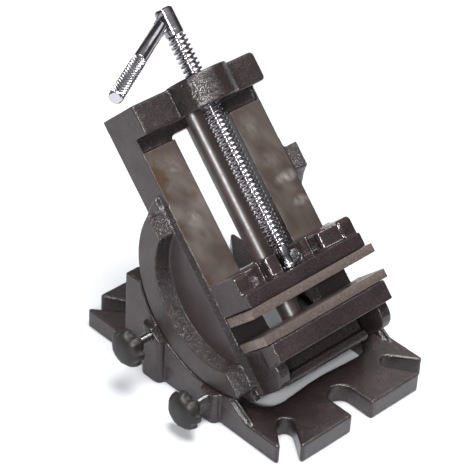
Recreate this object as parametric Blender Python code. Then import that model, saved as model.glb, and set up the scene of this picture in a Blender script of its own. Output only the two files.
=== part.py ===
"""Tilting machine vise with 100 mm jaws, in metres, +Z up.

The origin is on the underside of the base, in the middle of the bridge between the front
centre slot and the large opening. +Y runs to the handle end and +X to the right of someone
who stands behind the fixed jaw. The vise frame below has its origin on the tilt axis, which
is also the height of the lead screw: x across, y along the screw to the handle, z square to
the rails. It is turned about X by TILT.
"""

import math

import bmesh
import bpy
from mathutils import Vector

# Pose at rest
TILT = math.radians(46)
SCREW_TURN = math.radians(24)
LEVER_ANGLE = math.radians(70)

# Clearances
GAP = 0.0003
OVERRUN = 0.004
LAP = 0.0005

# Base plate, with y measured from the tilt axis
AXIS_FROM_ORIGIN = 0.0383
AXIS_HEIGHT = 0.0833
BASE_HALF_WIDTH = 0.062
BASE_FRONT = -0.070
BASE_REAR = 0.1125
BASE_THICKNESS = 0.013
CENTRE_SLOT_WIDTH = 0.0166
CENTRE_SLOT_DEPTH = 0.0257
CORNER_SLOT_RADIUS = 0.0053
TIP_ROUND = 0.0014
FRONT_SLOT = {"side": 0.0060, "end": 0.0108, "centre": (0.0178, 0.0202)}
REAR_SLOT = {"side": 0.0036, "end": 0.0140, "centre": (0.0196, 0.0188)}
OPENING_MARGIN = 0.0164
OPENING_FRONT = -0.034
OPENING_REAR = 0.076
OPENING_CORNER = 0.012
OPENING_WAVE = 0.002

# Cheeks of the base
CHEEK_THICKNESS = 0.0105
CHEEK_REAR_WALL = 0.00925
CHEEK_DROP = 0.0213
SEAT_FRONT = -0.0215
RAMP_FRONT = -0.0385
RAMP_WIDTH = 0.0058
RAMP_ROUND = 0.0022
THUMB_BOSS_ROUND = 0.0043
THUMB_BOSS_PROUD = 0.0047
THUMB_BOSS_RISE = 0.0057
THUMBS = {
    "rear": {"y": 0.0445, "inside_lip": 0.0017, "boss": (0.0095, 0.0085)},
    "front": {"y": -0.0057, "inside_lip": 0.0027, "boss": (0.0075, 0.0075)},
}

# Side discs of the tilting body
LIP_CLEARANCE = 0.0009
LIP_HEIGHT = 0.00665
LIP_THICKNESS = 0.005
RIM_WIDTH = 0.01525
DISC_SET_BACK = 0.001
DISC_DROP = 0.004
RECESS_DEPTH = 0.0114
DISC_SIDES = 96

# Bed of the tilting body
RAIL_TOP = -0.016
BED_THICKNESS = 0.0085
WALL_HEIGHT = 0.0234
WALL_THICKNESS = 0.0086
SKIRT_WIDTH = 0.0024
SKIRT_SET_BACK = 0.0013
BED_FRONT_CLEARANCE = 0.0024
RAIL_WIDTH = 0.0252
SLOT_BEHIND_FACE = 0.0023
SLOT_CORNER = 0.004
HOLLOW_BEHIND_FACE = 0.0083
HOLLOW_BEFORE_BLOCK = 0.0059
GROOVE_LENGTH = 0.0085
GROOVE_DEPTH = 0.0025
GROOVE_RIM = 0.0012

# Nut block
BLOCK_FRONT = 0.1009
BLOCK_THICKNESS = 0.0188
BLOCK_TOP = -0.0042
BLOCK_OVERHANG = 0.002
BLOCK_SIDE_HEIGHT = 0.0258
BLOCK_ROUND = 0.0025
BOSS_RADIUS = 0.0196
BOSS_PROUD = 0.0008

# Fixed jaw
PLATE_WIDTH = 0.100
PLATE_THICKNESS = 0.0055
PLATE_TOP = 0.0152
PLATE_BOTTOM = -0.0108
FACE_FROM_FRONT = 0.0353
FLANGE_THICKNESS = 0.0125
FLANGE_DROP = 0.0006
FLANGE_DEPTH = 0.0125
WEB_THICKNESS = 0.0085
LOBE_WIDTH = 0.0085
LOBE_TOP = 0.0075
LOBE_SET_BACK = 0.002
LOBE_ROUND = 0.0105
APRON_SIDE = 0.0137
APRON_THICKNESS = 0.0075
APRON_TOP = -0.0055
APRON_BOTTOM = -0.026
APRON_ROUND = 0.0035
TROUGH_FLOOR = -0.0085

# Moving jaw, with y measured back from its clamping face
JAW_OPEN = 0.0113
MOVING_FLANGE = 0.0088
MOVING_FLANGE_TOP = 0.0136
EAR_DEPTH = 0.0214
EAR_TOP = 0.0105
EAR_WIDTH = 0.0095
EAR_SLOPE_WIDTH = 0.0217
EAR_SLOPE_LOW = 0.0022
EAR_ROUND = 0.003
FOOT_HEIGHT = 0.0075
COLLAR_BOSS_HALF_WIDTH = 0.0145
COLLAR_BOSS_TOP = -0.0006
COLLAR_BOSS_ROUND = 0.0042
TONGUE_HEIGHT = 0.014
TONGUE_CLEARANCE = 0.0004

# Plate screws
PLATE_SCREW_INSET = 0.0172
PLATE_SCREW_Z = 0.003
PLATE_SCREW_RADIUS = 0.0025
PLATE_SCREW_HEAD = 0.0048
PLATE_SCREW_LENGTH = 0.012
SOCKET_SHARE = 0.42
SOCKET_DEPTH = 0.0016

# Guide rod
ROD_RADIUS = 0.007
ROD_DROP = 0.0041
ROD_INTO_BLOCK = 0.012
ROD_INTO_JAW = 0.010
SET_SCREW_RADIUS = 0.003
SET_SCREW_LENGTH = 0.009

# Lead screw, with y measured back from the moving jaw's clamping face
THREAD_RADIUS = 0.006
THREAD_PITCH = 0.003
THREAD_DEPTH = 0.00165
THREAD_START = 0.0284
THREAD_TURNS = 46
THREAD_STEPS = 10
ROOT_SHARE = 0.37
CREST_SHARE = 0.37
NECK_RADIUS = 0.0045
NECK_START = 0.0149
NECK_GROOVE_RADIUS = 0.0032
NECK_GROOVE_WIDTH = 0.0056
HEAD_RADIUS = 0.0058
HEAD_LENGTH = 0.0175
HEAD_SLOT = 0.0046
HEAD_SLOT_DEPTH = 0.0135
PIN_FROM_END = 0.0055
PIN_RADIUS = 0.0018

# Keeper screw on the moving jaw
KEEPER_X = 0.00785
KEEPER_Y = 0.0199
KEEPER_HEAD_RADIUS = 0.004
KEEPER_HEAD_HEIGHT = 0.0026
KEEPER_SHANK_RADIUS = 0.0022
KEEPER_LENGTH = 0.009
CROSS_WIDTH = 0.0011
CROSS_DEPTH = 0.0012

# Handle lever, with its length measured from the pin
LEVER_LENGTH = 0.096
LEVER_TONGUE = 0.0125
LEVER_TONGUE_THICKNESS = 0.004
LEVER_RADIUS = 0.0041
GRIP_RADIUS = 0.0045
GRIP_START = 0.053
GRIP_ROUND = 0.0008

# Thumb screws on the left cheek
STUD_RADIUS = 0.003
STUD_PITCH = 0.001
STUD_THREAD_DEPTH = 0.0006
STUD_SHOWN = 0.0091
KNOB_RADIUS = 0.0124
KNOB_THICKNESS = 0.0095
KNOB_HUB_RADIUS = 0.0062
KNOB_HUB_LENGTH = 0.0045
KNOB_LOBES = 7
KNOB_SCALLOP_RADIUS = 0.0042
KNOB_SCALLOP_BITE = 0.0021
KNOB_DOME = 0.0022
KNOB_SIDES = 48

ROUND_SIDES = 32
CORNER_STEPS = 4

# Widths that follow the base
CHEEK_INNER = BASE_HALF_WIDTH - CHEEK_THICKNESS
RAMP_INNER = BASE_HALF_WIDTH - RAMP_WIDTH
OPENING_HALF_WIDTH = BASE_HALF_WIDTH - OPENING_MARGIN
DISC_OUTER = BASE_HALF_WIDTH - DISC_SET_BACK
RECESS_WALL = DISC_OUTER - RECESS_DEPTH
WALL_INNER = RECESS_WALL - WALL_THICKNESS
BED_HALF_WIDTH = RECESS_WALL - SKIRT_WIDTH
JAW_HALF_WIDTH = BED_HALF_WIDTH
BLOCK_RIGHT = BED_HALF_WIDTH + BLOCK_OVERHANG
SLOT_HALF_WIDTH = BED_HALF_WIDTH - RAIL_WIDTH
APRON_HALF_WIDTH = JAW_HALF_WIDTH - APRON_SIDE
EAR_SLOPE_INNER = JAW_HALF_WIDTH - EAR_SLOPE_WIDTH
PLATE_SCREW_X = JAW_HALF_WIDTH - PLATE_SCREW_INSET
LIP_OUTER = CHEEK_INNER - GAP

# Radii that follow the height of the tilt axis over the plate
LIP_RADIUS = AXIS_HEIGHT - BASE_THICKNESS - LIP_CLEARANCE
DISC_RADIUS = LIP_RADIUS - LIP_HEIGHT
SEAT_RADIUS = DISC_RADIUS + GAP
DISC_RECESS_RADIUS = DISC_RADIUS - RIM_WIDTH
BED_FRONT_RADIUS = LIP_RADIUS - BED_FRONT_CLEARANCE
CHEEK_REAR = DISC_RADIUS + CHEEK_REAR_WALL
CHEEK_TOP = AXIS_HEIGHT - CHEEK_DROP

# Heights that follow the top of the rails
DISC_TOP = RAIL_TOP - DISC_DROP
WALL_BOTTOM = RAIL_TOP - WALL_HEIGHT
TONGUE_BOTTOM = RAIL_TOP - TONGUE_HEIGHT
ROD_Z = RAIL_TOP - ROD_DROP
BLOCK_SIDE_BOTTOM = BLOCK_TOP - BLOCK_SIDE_HEIGHT
SKIRT_END = math.sqrt(DISC_RADIUS**2 - DISC_TOP**2) - SKIRT_SET_BACK

# Places along the vise
FIXED_FACE = FACE_FROM_FRONT - BED_FRONT_RADIUS
MOVING_FACE = FIXED_FACE + JAW_OPEN
FIXED_PLATE_BACK = FIXED_FACE - PLATE_THICKNESS
LOBE_REACH = BED_FRONT_RADIUS - LOBE_SET_BACK
SLOT_FRONT = FIXED_FACE - SLOT_BEHIND_FACE
HOLLOW_FRONT = FIXED_FACE - HOLLOW_BEHIND_FACE
HOLLOW_REAR = BLOCK_FRONT - HOLLOW_BEFORE_BLOCK
BLOCK_REAR = BLOCK_FRONT + BLOCK_THICKNESS
THREAD_END = THREAD_START + THREAD_TURNS * THREAD_PITCH
PIN_Y = THREAD_END + HEAD_LENGTH - PIN_FROM_END


def clear_scene():
    for thing in list(bpy.data.objects):
        bpy.data.objects.remove(thing, do_unlink=True)


def material(name, colour, roughness, metallic):
    made = bpy.data.materials.new(name)
    made.use_nodes = True
    shader = made.node_tree.nodes["Principled BSDF"]
    shader.inputs["Base Color"].default_value = (*colour, 1)
    shader.inputs["Roughness"].default_value = roughness
    shader.inputs["Metallic"].default_value = metallic
    made.diffuse_color = (*colour, 1)
    return made


def add_object(name, shape, parent=None, finish=None):
    """The bmesh as an object, with its faces turned outwards and its round sides smooth."""
    bmesh.ops.recalc_face_normals(shape, faces=shape.faces)
    data = bpy.data.meshes.new(name)
    shape.to_mesh(data)
    shape.free()
    data.shade_smooth()
    data.set_sharp_from_angle(angle=math.radians(30))
    made = bpy.data.objects.new(name, data)
    bpy.context.scene.collection.objects.link(made)
    made.parent = parent
    if finish:
        data.materials.append(finish)
    return made


def empty(name, place, parent=None, turn=(0, 0, 0)):
    made = bpy.data.objects.new(name, None)
    made.location = place
    made.rotation_euler = turn
    made.parent = parent
    made.empty_display_size = THREAD_RADIUS
    bpy.context.scene.collection.objects.link(made)
    return made


def point(along, across, height):
    """A point from its place along an axis and its two places across that axis."""
    a, b = across
    return {"X": (height, a, b), "Y": (a, height, b), "Z": (a, b, height)}[along]


def prism(outline, low, high, along):
    """A closed solid with this outline, from low to high along X, Y or Z."""
    shape = bmesh.new()
    rings = [[shape.verts.new(point(along, p, h)) for p in outline] for h in (low, high)]
    shape.faces.new(rings[0])
    shape.faces.new(rings[1])
    for i in range(len(outline)):
        j = (i + 1) % len(outline)
        shape.faces.new((rings[0][i], rings[0][j], rings[1][j], rings[1][i]))
    return shape


def lathe(profile, along, centre=(0, 0), sides=ROUND_SIDES):
    """A closed turned solid from (radius, place along the axis) pairs."""
    shape = bmesh.new()
    rings = [
        [shape.verts.new(point(along, p, place)) for p in circle(radius, centre, sides)]
        for radius, place in profile
    ]
    for lower, upper in zip(rings, rings[1:]):
        for i in range(sides):
            j = (i + 1) % sides
            shape.faces.new((lower[i], lower[j], upper[j], upper[i]))
    shape.faces.new(rings[0])
    shape.faces.new(rings[-1])
    return shape


def circle(radius, centre=(0, 0), sides=ROUND_SIDES):
    return arc(radius, 0, math.tau * (1 - 1 / sides), sides - 1, centre)


def arc(radius, start, end, steps, centre=(0, 0)):
    return [
        (
            centre[0] + radius * math.cos(start + (end - start) * i / steps),
            centre[1] + radius * math.sin(start + (end - start) * i / steps),
        )
        for i in range(steps + 1)
    ]


def rectangle(low, high):
    return [low, (high[0], low[1]), high, (low[0], high[1])]


def rounded(outline, radii):
    """The outline with an arc at each corner whose radius isn't 0."""
    made = []
    count = len(outline)
    for i, radius in enumerate(radii):
        corner = Vector(outline[i])
        if not radius:
            made.append(tuple(corner))
            continue
        before = (Vector(outline[i - 1]) - corner).normalized()
        after = (Vector(outline[(i + 1) % count]) - corner).normalized()
        half = before.angle(after) / 2
        start = corner + before * radius / math.tan(half)
        end = corner + after * radius / math.tan(half)
        centre = corner + (before + after).normalized() * radius / math.sin(half)
        spread = [(start - centre), (end - centre)]
        for step in range(CORNER_STEPS + 1):
            share = step / CORNER_STEPS
            way = spread[0].slerp(spread[1], share)
            made.append(tuple(centre + way.normalized() * radius))
    return made


def mirrored(outline):
    return [(-x, y) for x, y in outline]


def combine(target, shape, operation):
    """Adds a Boolean to the target, with the shape as a hidden helper in the target's frame."""
    helper = add_object(f"{target.name}_{operation.lower()}", shape, target)
    helper.hide_render = True
    helper.display_type = "WIRE"
    step = target.modifiers.new(operation.title(), "BOOLEAN")
    step.operation = operation
    step.solver = "EXACT"
    step.object = helper


def join(target, *shapes):
    for shape in shapes:
        combine(target, shape, "UNION")


def cut(target, *shapes):
    for shape in shapes:
        combine(target, shape, "DIFFERENCE")


def span(side, inner, outer):
    """Low and high x of a piece that reaches from inner to outer on one side."""
    return sorted((side * inner, side * outer))


# Base cradle


def tangent_angle(centre, mouth, side):
    """Where the straight side of a corner slot meets the slot's round end."""
    away = Vector(mouth) - Vector(centre)
    return math.atan2(away.y, away.x) + side * math.acos(CORNER_SLOT_RADIUS / away.length)


def corner_points(slot):
    """Slanted slot at a corner of the plate, measured inwards from its side and its end."""
    centre, side_mouth, end_mouth = slot["centre"], (0, slot["side"]), (slot["end"], 0)
    start = tangent_angle(centre, end_mouth, 1)
    turn = tangent_angle(centre, side_mouth, -1) - start
    end = start + turn % math.tau
    bend = arc(CORNER_SLOT_RADIUS, start, end, 3 * CORNER_STEPS, centre)
    return [(end_mouth, TIP_ROUND), *((place, 0) for place in bend), (side_mouth, TIP_ROUND)]


def end_points(slot):
    """Right half of one end of the plate, from the centre slot to the side, with its radii."""
    radius = CENTRE_SLOT_WIDTH / 2
    bend = arc(radius, math.pi / 2, 0, 2 * CORNER_STEPS, (0, CENTRE_SLOT_DEPTH - radius))
    made = [(place, 0) for place in bend] + [((radius, 0), TIP_ROUND)]
    for (inward, along), tip in corner_points(slot):
        made.append(((BASE_HALF_WIDTH - inward, along), tip))
    return made


def plate_outline():
    """Plan of the base plate with its six clamping slots."""
    made = []
    for edge, end, slot in ((BASE_FRONT, -1, FRONT_SLOT), (BASE_REAR, 1, REAR_SLOT)):
        half = [((x, edge - end * along), tip) for (x, along), tip in end_points(slot)]
        other = [((-x, y), tip) for (x, y), tip in half[1:]]
        whole = other[::-1] + half
        made += whole if end < 0 else whole[::-1]
    return rounded([place for place, _ in made], [tip for _, tip in made])


def opening():
    """Outline of the large opening, whose front edge swells inwards in its middle."""
    wide, front, rear = OPENING_HALF_WIDTH, OPENING_FRONT, OPENING_REAR
    around = rounded(rectangle((-wide, front), (wide, rear)), [OPENING_CORNER] * 4)
    steps = 4 * CORNER_STEPS
    first = CORNER_STEPS + 1
    straight = 2 * (wide - OPENING_CORNER)
    wave = [
        (
            -straight / 2 + straight * i / steps,
            front + OPENING_WAVE * math.sin(math.pi * i / steps) ** 2,
        )
        for i in range(1, steps)
    ]
    return around[:first] + wave + around[first:]


def cheek_outline():
    """Side view of a cheek, with the seat for the disc cut away later."""
    seat_z = AXIS_HEIGHT - math.sqrt(SEAT_RADIUS**2 - SEAT_FRONT**2)
    floor = BASE_THICKNESS / 2
    inner = AXIS_HEIGHT - SEAT_RADIUS + THUMB_BOSS_RISE
    return [
        (SEAT_FRONT, seat_z),
        (0, inner),
        (CHEEK_REAR / 2, CHEEK_TOP),
        (CHEEK_REAR, CHEEK_TOP),
        (CHEEK_REAR, floor),
        (SEAT_FRONT, floor),
    ]


def ramp_shape(side):
    """Rounded rib that runs from the seat of a cheek down to the front of the plate."""
    seat_z = AXIS_HEIGHT - math.sqrt(SEAT_RADIUS**2 - SEAT_FRONT**2)
    floor = BASE_THICKNESS / 2
    outline = [
        (RAMP_FRONT, BASE_THICKNESS),
        (SEAT_FRONT, seat_z),
        (0, seat_z),
        (0, floor),
        (RAMP_FRONT, floor),
    ]
    shape = prism(outline, *span(side, RAMP_INNER, BASE_HALF_WIDTH), "X")
    sloped = [
        edge
        for edge in shape.edges
        if abs(edge.verts[0].co.y - edge.verts[1].co.y) > GAP
        and all(v.co.y <= SEAT_FRONT and v.co.z >= BASE_THICKNESS for v in edge.verts)
    ]
    bmesh.ops.bevel(shape, geom=sloped, offset=RAMP_ROUND, segments=CORNER_STEPS, affect="EDGES")
    return shape


def thumb_place(name):
    """Where a thumb screw points at the lip of the disc."""
    y = THUMBS[name]["y"]
    reach = LIP_RADIUS - THUMBS[name]["inside_lip"]
    return y, AXIS_HEIGHT - math.sqrt(reach**2 - y**2)


def thumb_boss(name):
    """Upright rounded boss on the outside of the left cheek."""
    y, z = thumb_place(name)
    front, rear = THUMBS[name]["boss"]
    outer = -BASE_HALF_WIDTH - THUMB_BOSS_PROUD
    corners = rectangle((outer, y - front), (-CHEEK_INNER - OVERRUN, y + rear))
    outline = rounded(corners, [THUMB_BOSS_ROUND, 0, 0, THUMB_BOSS_ROUND])
    return prism(outline, 0, z + THUMB_BOSS_RISE, "Z")


def make_base(finish):
    plate = prism(plate_outline(), 0, BASE_THICKNESS, "Z")
    base = add_object("base_cradle", plate, None, finish)
    base.location.y = AXIS_FROM_ORIGIN
    for side in (-1, 1):
        join(base, prism(cheek_outline(), *span(side, CHEEK_INNER, BASE_HALF_WIDTH), "X"))
        join(base, ramp_shape(side))
    for name in THUMBS:
        join(base, thumb_boss(name))
    cut(base, prism(opening(), -OVERRUN, BASE_THICKNESS + OVERRUN, "Z"))
    seat = circle(SEAT_RADIUS, (0, AXIS_HEIGHT), DISC_SIDES)
    reach = BASE_HALF_WIDTH + THUMB_BOSS_PROUD + OVERRUN
    cut(base, prism(seat, -reach, reach, "X"))
    for name in THUMBS:
        hole = circle(STUD_RADIUS + GAP, thumb_place(name))
        cut(base, prism(hole, -reach, -CHEEK_INNER + OVERRUN, "X"))
    return base


# Tilting body


def disc_outline(radius, top):
    """The part of a disc below top, from its rear end round to its front end."""
    end = math.asin(top / radius)
    return arc(radius, end, -math.pi - end, DISC_SIDES // 2)


def bed_shape():
    """Solid bed, whose front follows a circle about the tilt axis so that it clears the base."""
    radius = BED_FRONT_RADIUS
    top, bottom = (math.pi - math.asin(z / radius) for z in (RAIL_TOP, WALL_BOTTOM))
    front = arc(radius, bottom, top, DISC_SIDES // 8)
    outline = [(BLOCK_REAR, RAIL_TOP), (BLOCK_REAR, WALL_BOTTOM), *front]
    return prism(outline, -BED_HALF_WIDTH, BED_HALF_WIDTH, "X")


def skirt_shape():
    """Sloped sides that carry the bed out to the walls of the side recesses."""
    low = 2 * DISC_TOP - RAIL_TOP
    half = [(RECESS_WALL, low), (RECESS_WALL, DISC_TOP), (BED_HALF_WIDTH, RAIL_TOP)]
    return prism(half + mirrored(half)[::-1], -SKIRT_END, SKIRT_END, "Y")


def lobe_shape(side):
    """Rounded gusset behind one end of the fixed jaw's flange."""
    back = FIXED_PLATE_BACK - LAP
    corners = [
        (back, RAIL_TOP - LAP),
        (back, LOBE_TOP),
        (-LOBE_REACH, LOBE_TOP),
        (-LOBE_REACH, RAIL_TOP - LAP),
    ]
    outline = rounded(corners, [0, 0, LOBE_ROUND, 0])
    return prism(outline, *span(side, JAW_HALF_WIDTH - LOBE_WIDTH, JAW_HALF_WIDTH - LAP), "X")


def apron_shape():
    """Raised wall across the front of the bed that closes the trough behind the fixed jaw."""
    radius = BED_FRONT_RADIUS
    back = FIXED_PLATE_BACK - LAP
    rise = math.pi - math.asin(APRON_TOP / radius)
    low = math.pi - math.asin(APRON_BOTTOM / radius)
    front = arc(radius, rise, low, CORNER_STEPS)
    corners = [(back, APRON_BOTTOM), (back, APRON_TOP), *front]
    outline = rounded(corners, [0, 0, APRON_ROUND] + [0] * CORNER_STEPS)
    return prism(outline, -APRON_HALF_WIDTH, APRON_HALF_WIDTH, "X")


def fixed_jaw_shapes():
    back = FIXED_PLATE_BACK - GAP
    top = PLATE_TOP - FLANGE_DROP
    flange = rectangle((back - FLANGE_THICKNESS, top - FLANGE_DEPTH), (back, top))
    web = rectangle((back - WEB_THICKNESS, RAIL_TOP - LAP), (back, top - LAP))
    return [
        prism(web, -JAW_HALF_WIDTH + LAP, JAW_HALF_WIDTH - LAP, "X"),
        prism(flange, -JAW_HALF_WIDTH, JAW_HALF_WIDTH, "X"),
    ]


def nut_block_shapes():
    shoulders = rectangle((-BED_HALF_WIDTH, BLOCK_FRONT), (BLOCK_RIGHT, BLOCK_REAR))
    shoulders = rounded(shoulders, [0, BLOCK_ROUND, BLOCK_ROUND, 0])
    return [
        prism(shoulders, BLOCK_SIDE_BOTTOM, BLOCK_TOP, "Z"),
        prism(circle(BOSS_RADIUS), BLOCK_FRONT, BLOCK_REAR + BOSS_PROUD, "Y"),
    ]


def rail_slot_shape():
    corners = rectangle((-SLOT_HALF_WIDTH, SLOT_FRONT), (SLOT_HALF_WIDTH, HOLLOW_REAR))
    outline = rounded(corners, [SLOT_CORNER] * 4)
    return prism(outline, RAIL_TOP - BED_THICKNESS - OVERRUN, RAIL_TOP + OVERRUN, "Z")


def relief_groove_shape():
    """Shallow groove across the bed in front of the nut block, closed at both sides."""
    wide = BED_HALF_WIDTH - GROOVE_RIM
    outline = rectangle((-wide, BLOCK_FRONT - GROOVE_LENGTH), (wide, BLOCK_FRONT))
    return prism(outline, RAIL_TOP - GROOVE_DEPTH, RAIL_TOP + OVERRUN, "Z")


def trough_shape():
    """Hollow between the fixed jaw's web, its lobes and the apron."""
    wide = JAW_HALF_WIDTH - LOBE_WIDTH
    front = -BED_FRONT_RADIUS + APRON_THICKNESS
    rear = FIXED_PLATE_BACK - WEB_THICKNESS - GAP
    corners = rectangle((-wide, front), (wide, rear))
    high = PLATE_TOP - FLANGE_DROP - FLANGE_DEPTH + LAP
    return prism(rounded(corners, [APRON_ROUND] * 4), TROUGH_FLOOR, high, "Z")


def make_body(parent, finish):
    body = add_object("vise_body", bed_shape(), parent, finish)
    join(body, *nut_block_shapes())
    for side in (-1, 1):
        outline = disc_outline(DISC_RADIUS, DISC_TOP)
        join(body, prism(outline, *span(side, WALL_INNER, DISC_OUTER), "X"))
        lip = disc_outline(LIP_RADIUS, DISC_TOP - LAP)
        join(body, prism(lip, *span(side, LIP_OUTER - LIP_THICKNESS, LIP_OUTER), "X"))
    join(body, skirt_shape(), apron_shape(), lobe_shape(-1), lobe_shape(1))
    cut(body, trough_shape())
    join(body, *fixed_jaw_shapes())
    for side in (-1, 1):
        recess = disc_outline(DISC_RECESS_RADIUS, DISC_TOP + OVERRUN)
        reach = span(side, RECESS_WALL, DISC_OUTER + OVERRUN)
        cut(body, prism(recess, *reach, "X"))
    hollow = rectangle((-WALL_INNER, HOLLOW_FRONT), (WALL_INNER, HOLLOW_REAR))
    hollow_top = RAIL_TOP - BED_THICKNESS
    cut(body, prism(hollow, -LIP_RADIUS - OVERRUN, hollow_top, "Z"))
    cut(body, rail_slot_shape(), relief_groove_shape())
    cut_body_holes(body)
    return body


def cut_body_holes(body):
    """Bores for the lead screw, the guide rod and its set screws, and the plate screws."""
    bore = circle(THREAD_RADIUS + GAP)
    cut(body, prism(bore, BLOCK_FRONT - OVERRUN, BLOCK_REAR + OVERRUN, "Y"))
    rod = circle(ROD_RADIUS + GAP, (0, ROD_Z))
    low, high = rod_ends()
    cut(body, prism(rod, low - GAP, high + GAP, "Y"))
    for y in set_screw_places():
        hole = circle(SET_SCREW_RADIUS + GAP, (0, y))
        cut(body, prism(hole, -LIP_RADIUS - OVERRUN, ROD_Z, "Z"))
    for x in (-PLATE_SCREW_X, PLATE_SCREW_X):
        hole = circle(PLATE_SCREW_RADIUS + GAP, (x, PLATE_SCREW_Z))
        start = FIXED_FACE - PLATE_SCREW_LENGTH - GAP
        cut(body, prism(hole, start, FIXED_FACE, "Y"))


def rod_ends():
    return SLOT_FRONT - ROD_INTO_JAW, BLOCK_FRONT + ROD_INTO_BLOCK


def set_screw_places():
    return (HOLLOW_FRONT - SET_SCREW_RADIUS - LAP, BLOCK_FRONT + SET_SCREW_RADIUS + LAP)


def make_guide_rod(parent, steel, dark):
    low, high = rod_ends()
    add_object("guide_rod", prism(circle(ROD_RADIUS, (0, ROD_Z)), low, high, "Y"), parent, steel)
    top = ROD_Z - ROD_RADIUS - GAP
    for name, y in zip(("front", "rear"), set_screw_places()):
        outline = circle(SET_SCREW_RADIUS, (0, y), ROUND_SIDES // 2)
        low = top - SET_SCREW_LENGTH
        screw = prism(outline, low, top, "Z")
        made = add_object(f"rod_set_screw_{name}", screw, parent, dark)
        socket = circle(SET_SCREW_RADIUS * 2 * SOCKET_SHARE / math.sqrt(3), (0, y), 6)
        cut(made, prism(socket, low - OVERRUN, low + SOCKET_DEPTH, "Z"))


# Jaw plates and their screws


def plate_shape(face, back):
    half = PLATE_WIDTH / 2
    outline = rectangle((-half, PLATE_BOTTOM), (half, PLATE_TOP))
    return prism(outline, *sorted((face, back)), "Y")


def plate_screw_shape(face, way):
    """Countersunk screw whose head is flush with the face and whose shank runs way along y."""
    head = face + way * GAP
    neck = head + way * (PLATE_SCREW_HEAD - PLATE_SCREW_RADIUS)
    tip = face + way * PLATE_SCREW_LENGTH
    return [(PLATE_SCREW_HEAD, head), (PLATE_SCREW_RADIUS, neck), (PLATE_SCREW_RADIUS, tip)]


def countersink_shape(face, way):
    profile = plate_screw_shape(face, way)
    (head_radius, head), (radius, neck), (_, tip) = profile
    grown = [(head_radius + OVERRUN + GAP, head - way * OVERRUN), (radius + GAP, neck)]
    return grown + [(radius + GAP, tip)]


def make_plate(name, parent, face, way, steel, dark):
    """A jaw plate with its two screws; its face is at face and its back lies way along y."""
    plate = add_object(name, plate_shape(face, face + way * PLATE_THICKNESS), parent, steel)
    for end, x in (("left", -PLATE_SCREW_X), ("right", PLATE_SCREW_X)):
        centre = (x, PLATE_SCREW_Z)
        cut(plate, lathe(countersink_shape(face, way), "Y", centre))
        profile = plate_screw_shape(face, way)
        screw = add_object(f"{name}_screw_{end}", lathe(profile, "Y", centre), parent, dark)
        socket = circle(PLATE_SCREW_HEAD * SOCKET_SHARE, centre, 6)
        depth = sorted((face - way * OVERRUN, face + way * (SOCKET_DEPTH + GAP)))
        cut(screw, prism(socket, *depth, "Y"))


# Moving jaw


def make_moving_jaw(parent, finish):
    """Casting of the moving jaw, with y measured back from the clamping face."""
    front = PLATE_THICKNESS + GAP
    floor = RAIL_TOP + GAP
    wide = JAW_HALF_WIDTH + LAP
    inner = wide - EAR_WIDTH
    back = PLATE_THICKNESS + EAR_DEPTH
    foot = rectangle((-wide, front), (wide, back))
    jaw = add_object("moving_jaw", prism(foot, floor, floor + FOOT_HEIGHT, "Z"), parent, finish)
    flange = rectangle((front, floor + LAP), (front + MOVING_FLANGE, MOVING_FLANGE_TOP))
    join(jaw, prism(flange, -wide + LAP, wide - LAP, "X"))
    corners = rectangle((front + LAP, floor + LAP), (back - LAP, EAR_TOP))
    ear = rounded(corners, [0, 0, EAR_ROUND, 0])
    slope = [
        (inner + LAP, floor + LAP),
        (inner + LAP, EAR_TOP - LAP),
        (EAR_SLOPE_INNER, EAR_SLOPE_LOW),
        (EAR_SLOPE_INNER, floor + LAP),
    ]
    slope = rounded(slope, [0, 0, EAR_ROUND, 0])
    for side, outline in ((1, slope), (-1, mirrored(slope))):
        join(jaw, prism(ear, *span(side, inner, wide), "X"))
        join(jaw, prism(outline, front + LAP, back - EAR_ROUND / 2, "Y"))
    half = COLLAR_BOSS_HALF_WIDTH
    boss = rectangle((-half, floor + LAP), (half, COLLAR_BOSS_TOP))
    boss = rounded(boss, [0, 0, COLLAR_BOSS_ROUND, COLLAR_BOSS_ROUND])
    join(jaw, prism(boss, front + LAP, back, "Y"))
    tongue_half = SLOT_HALF_WIDTH - TONGUE_CLEARANCE
    tongue = rectangle((-tongue_half, TONGUE_BOTTOM), (tongue_half, floor + LAP))
    join(jaw, prism(tongue, front + LAP, back - LAP, "Y"))
    neck = circle(NECK_RADIUS + GAP)
    cut(jaw, prism(neck, NECK_START - GAP, back + OVERRUN, "Y"))
    rod = circle(ROD_RADIUS + GAP, (0, ROD_Z))
    cut(jaw, prism(rod, -OVERRUN, back + OVERRUN, "Y"))
    seat = circle(KEEPER_HEAD_RADIUS + GAP, (KEEPER_X, KEEPER_Y))
    cut(jaw, prism(seat, COLLAR_BOSS_TOP - KEEPER_HEAD_HEIGHT, COLLAR_BOSS_TOP + OVERRUN, "Z"))
    shank = circle(KEEPER_SHANK_RADIUS + GAP, (KEEPER_X, KEEPER_Y))
    bottom = COLLAR_BOSS_TOP - KEEPER_HEAD_HEIGHT - KEEPER_LENGTH
    cut(jaw, prism(shank, bottom, COLLAR_BOSS_TOP, "Z"))
    for x in (-PLATE_SCREW_X, PLATE_SCREW_X):
        hole = circle(PLATE_SCREW_RADIUS + GAP, (x, PLATE_SCREW_Z))
        cut(jaw, prism(hole, 0, PLATE_SCREW_LENGTH + GAP, "Y"))
    return jaw


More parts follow.
